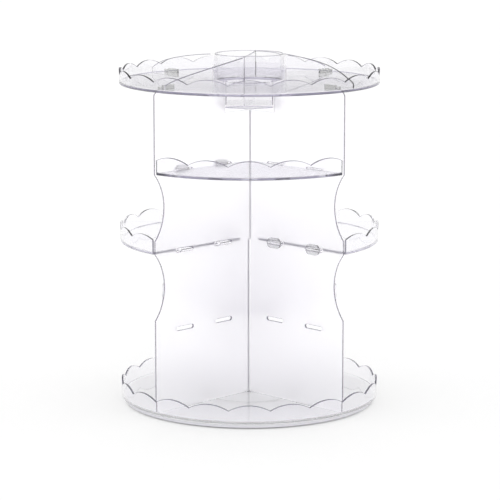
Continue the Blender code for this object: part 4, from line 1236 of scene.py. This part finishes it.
def show_cad_nodes(finishes):
    """Gives the pads, the balls and the pivot's pieces, which keep their CAD meshes, their finishes."""
    for node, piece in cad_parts.items():
        if node.startswith("foot_pad"):
            name = "pad_soft"
        elif node.startswith("bearing_ball") or node in ("pivot_washer", "pivot_screw"):
            name = "bearing_steel"
        elif node in ("ball_cage", "pivot_bush"):
            name = "white_plastic"
        else:
            continue
        piece.data.materials.clear()
        piece.data.materials.append(finishes[name])


# Studio

def seen_by_eye(tree):
    """1 for rays from the camera, straight or by way of a mirror or a clear piece."""
    path = tree.nodes.new("ShaderNodeLightPath")
    direct = reckon(tree, "MAXIMUM", path.outputs["Is Camera Ray"], path.outputs["Is Glossy Ray"])
    return reckon(tree, "MAXIMUM", direct, path.outputs["Is Transmission Ray"])


def build_floor():
    """A pale floor that shows plain white round the object and keeps its shadow."""
    bm = bmesh.new()
    bmesh.ops.create_circle(bm, cap_ends=True, segments=ROUND_STEPS, radius=FLOOR_RADIUS)
    mesh = bpy.data.meshes.new("floor")
    bm.to_mesh(mesh)
    bm.free()
    floor = bpy.data.objects.new("floor", mesh)
    bpy.context.collection.objects.link(floor)
    material = bpy.data.materials.new("floor_white")
    material.use_nodes = True
    tree = material.node_tree
    tree.nodes.clear()
    output = tree.nodes.new("ShaderNodeOutputMaterial")
    both = tree.nodes.new("ShaderNodeAddShader")
    matt = tree.nodes.new("ShaderNodeBsdfDiffuse")
    matt.inputs["Color"].default_value = (FLOOR_WHITE, FLOOR_WHITE, FLOOR_WHITE, 1.0)
    glow = tree.nodes.new("ShaderNodeEmission")
    tree.links.new(reckon(tree, "MULTIPLY", seen_by_eye(tree), FLOOR_GLOW), glow.inputs["Strength"])
    tree.links.new(matt.outputs[0], both.inputs[0])
    tree.links.new(glow.outputs[0], both.inputs[1])
    tree.links.new(both.outputs[0], output.inputs["Surface"])
    mesh.materials.append(material)


def build_world():
    """Soft studio light: white at the horizon, a darker band above it, and a wide soft light overhead."""
    world = bpy.data.worlds.new("studio")
    bpy.context.scene.world = world
    world.use_nodes = True
    tree = world.node_tree
    tree.nodes.clear()
    output = tree.nodes.new("ShaderNodeOutputWorld")
    sky = tree.nodes.new("ShaderNodeBackground")
    place = tree.nodes.new("ShaderNodeTexCoord")
    split = tree.nodes.new("ShaderNodeSeparateXYZ")
    ramp = tree.nodes.new("ShaderNodeValToRGB")
    stops = ramp.color_ramp.elements
    for height, _ in STUDIO_LIGHT[1:-1]:
        stops.new(height)
    for stop, (_, light) in zip(stops, STUDIO_LIGHT):
        stop.color = (light, light, light, 1.0)
    tree.links.new(place.outputs["Generated"], split.inputs[0])
    tree.links.new(split.outputs["Z"], ramp.inputs["Fac"])
    tree.links.new(ramp.outputs["Color"], sky.inputs["Color"])
    tree.links.new(sky.outputs[0], output.inputs["Surface"])


def build_camera():
    lens = bpy.data.cameras.new("camera")
    lens.sensor_width = SENSOR_WIDTH
    lens.lens = FOCAL_PIXELS * SENSOR_WIDTH / PHOTO_WIDTH
    lens.shift_x = CAMERA_SHIFT
    camera = bpy.data.objects.new("camera", lens)
    camera.location = CAMERA_PLACE
    camera.rotation_euler = (math.radians(90.0 - CAMERA_PITCH), 0.0, 0.0)
    bpy.context.collection.objects.link(camera)
    bpy.context.scene.camera = camera


def main():
    finishes = make_finishes()
    show_trays(finishes)
    show_shelves(finishes)
    show_boards(finishes)
    show_cup_and_divider(finishes)
    show_foot(finishes)
    show_cad_nodes(finishes)
    build_floor()
    build_world()
    build_camera()
    scene = bpy.context.scene
    scene.view_settings.view_transform = "Standard"
    scene.cycles.max_bounces = CLEAR_BOUNCES
    scene.cycles.transmission_bounces = CLEAR_BOUNCES
    scene.cycles.glossy_bounces = GLOSSY_BOUNCES
    scene.cycles.transparent_max_bounces = OPENING_BOUNCES


main()
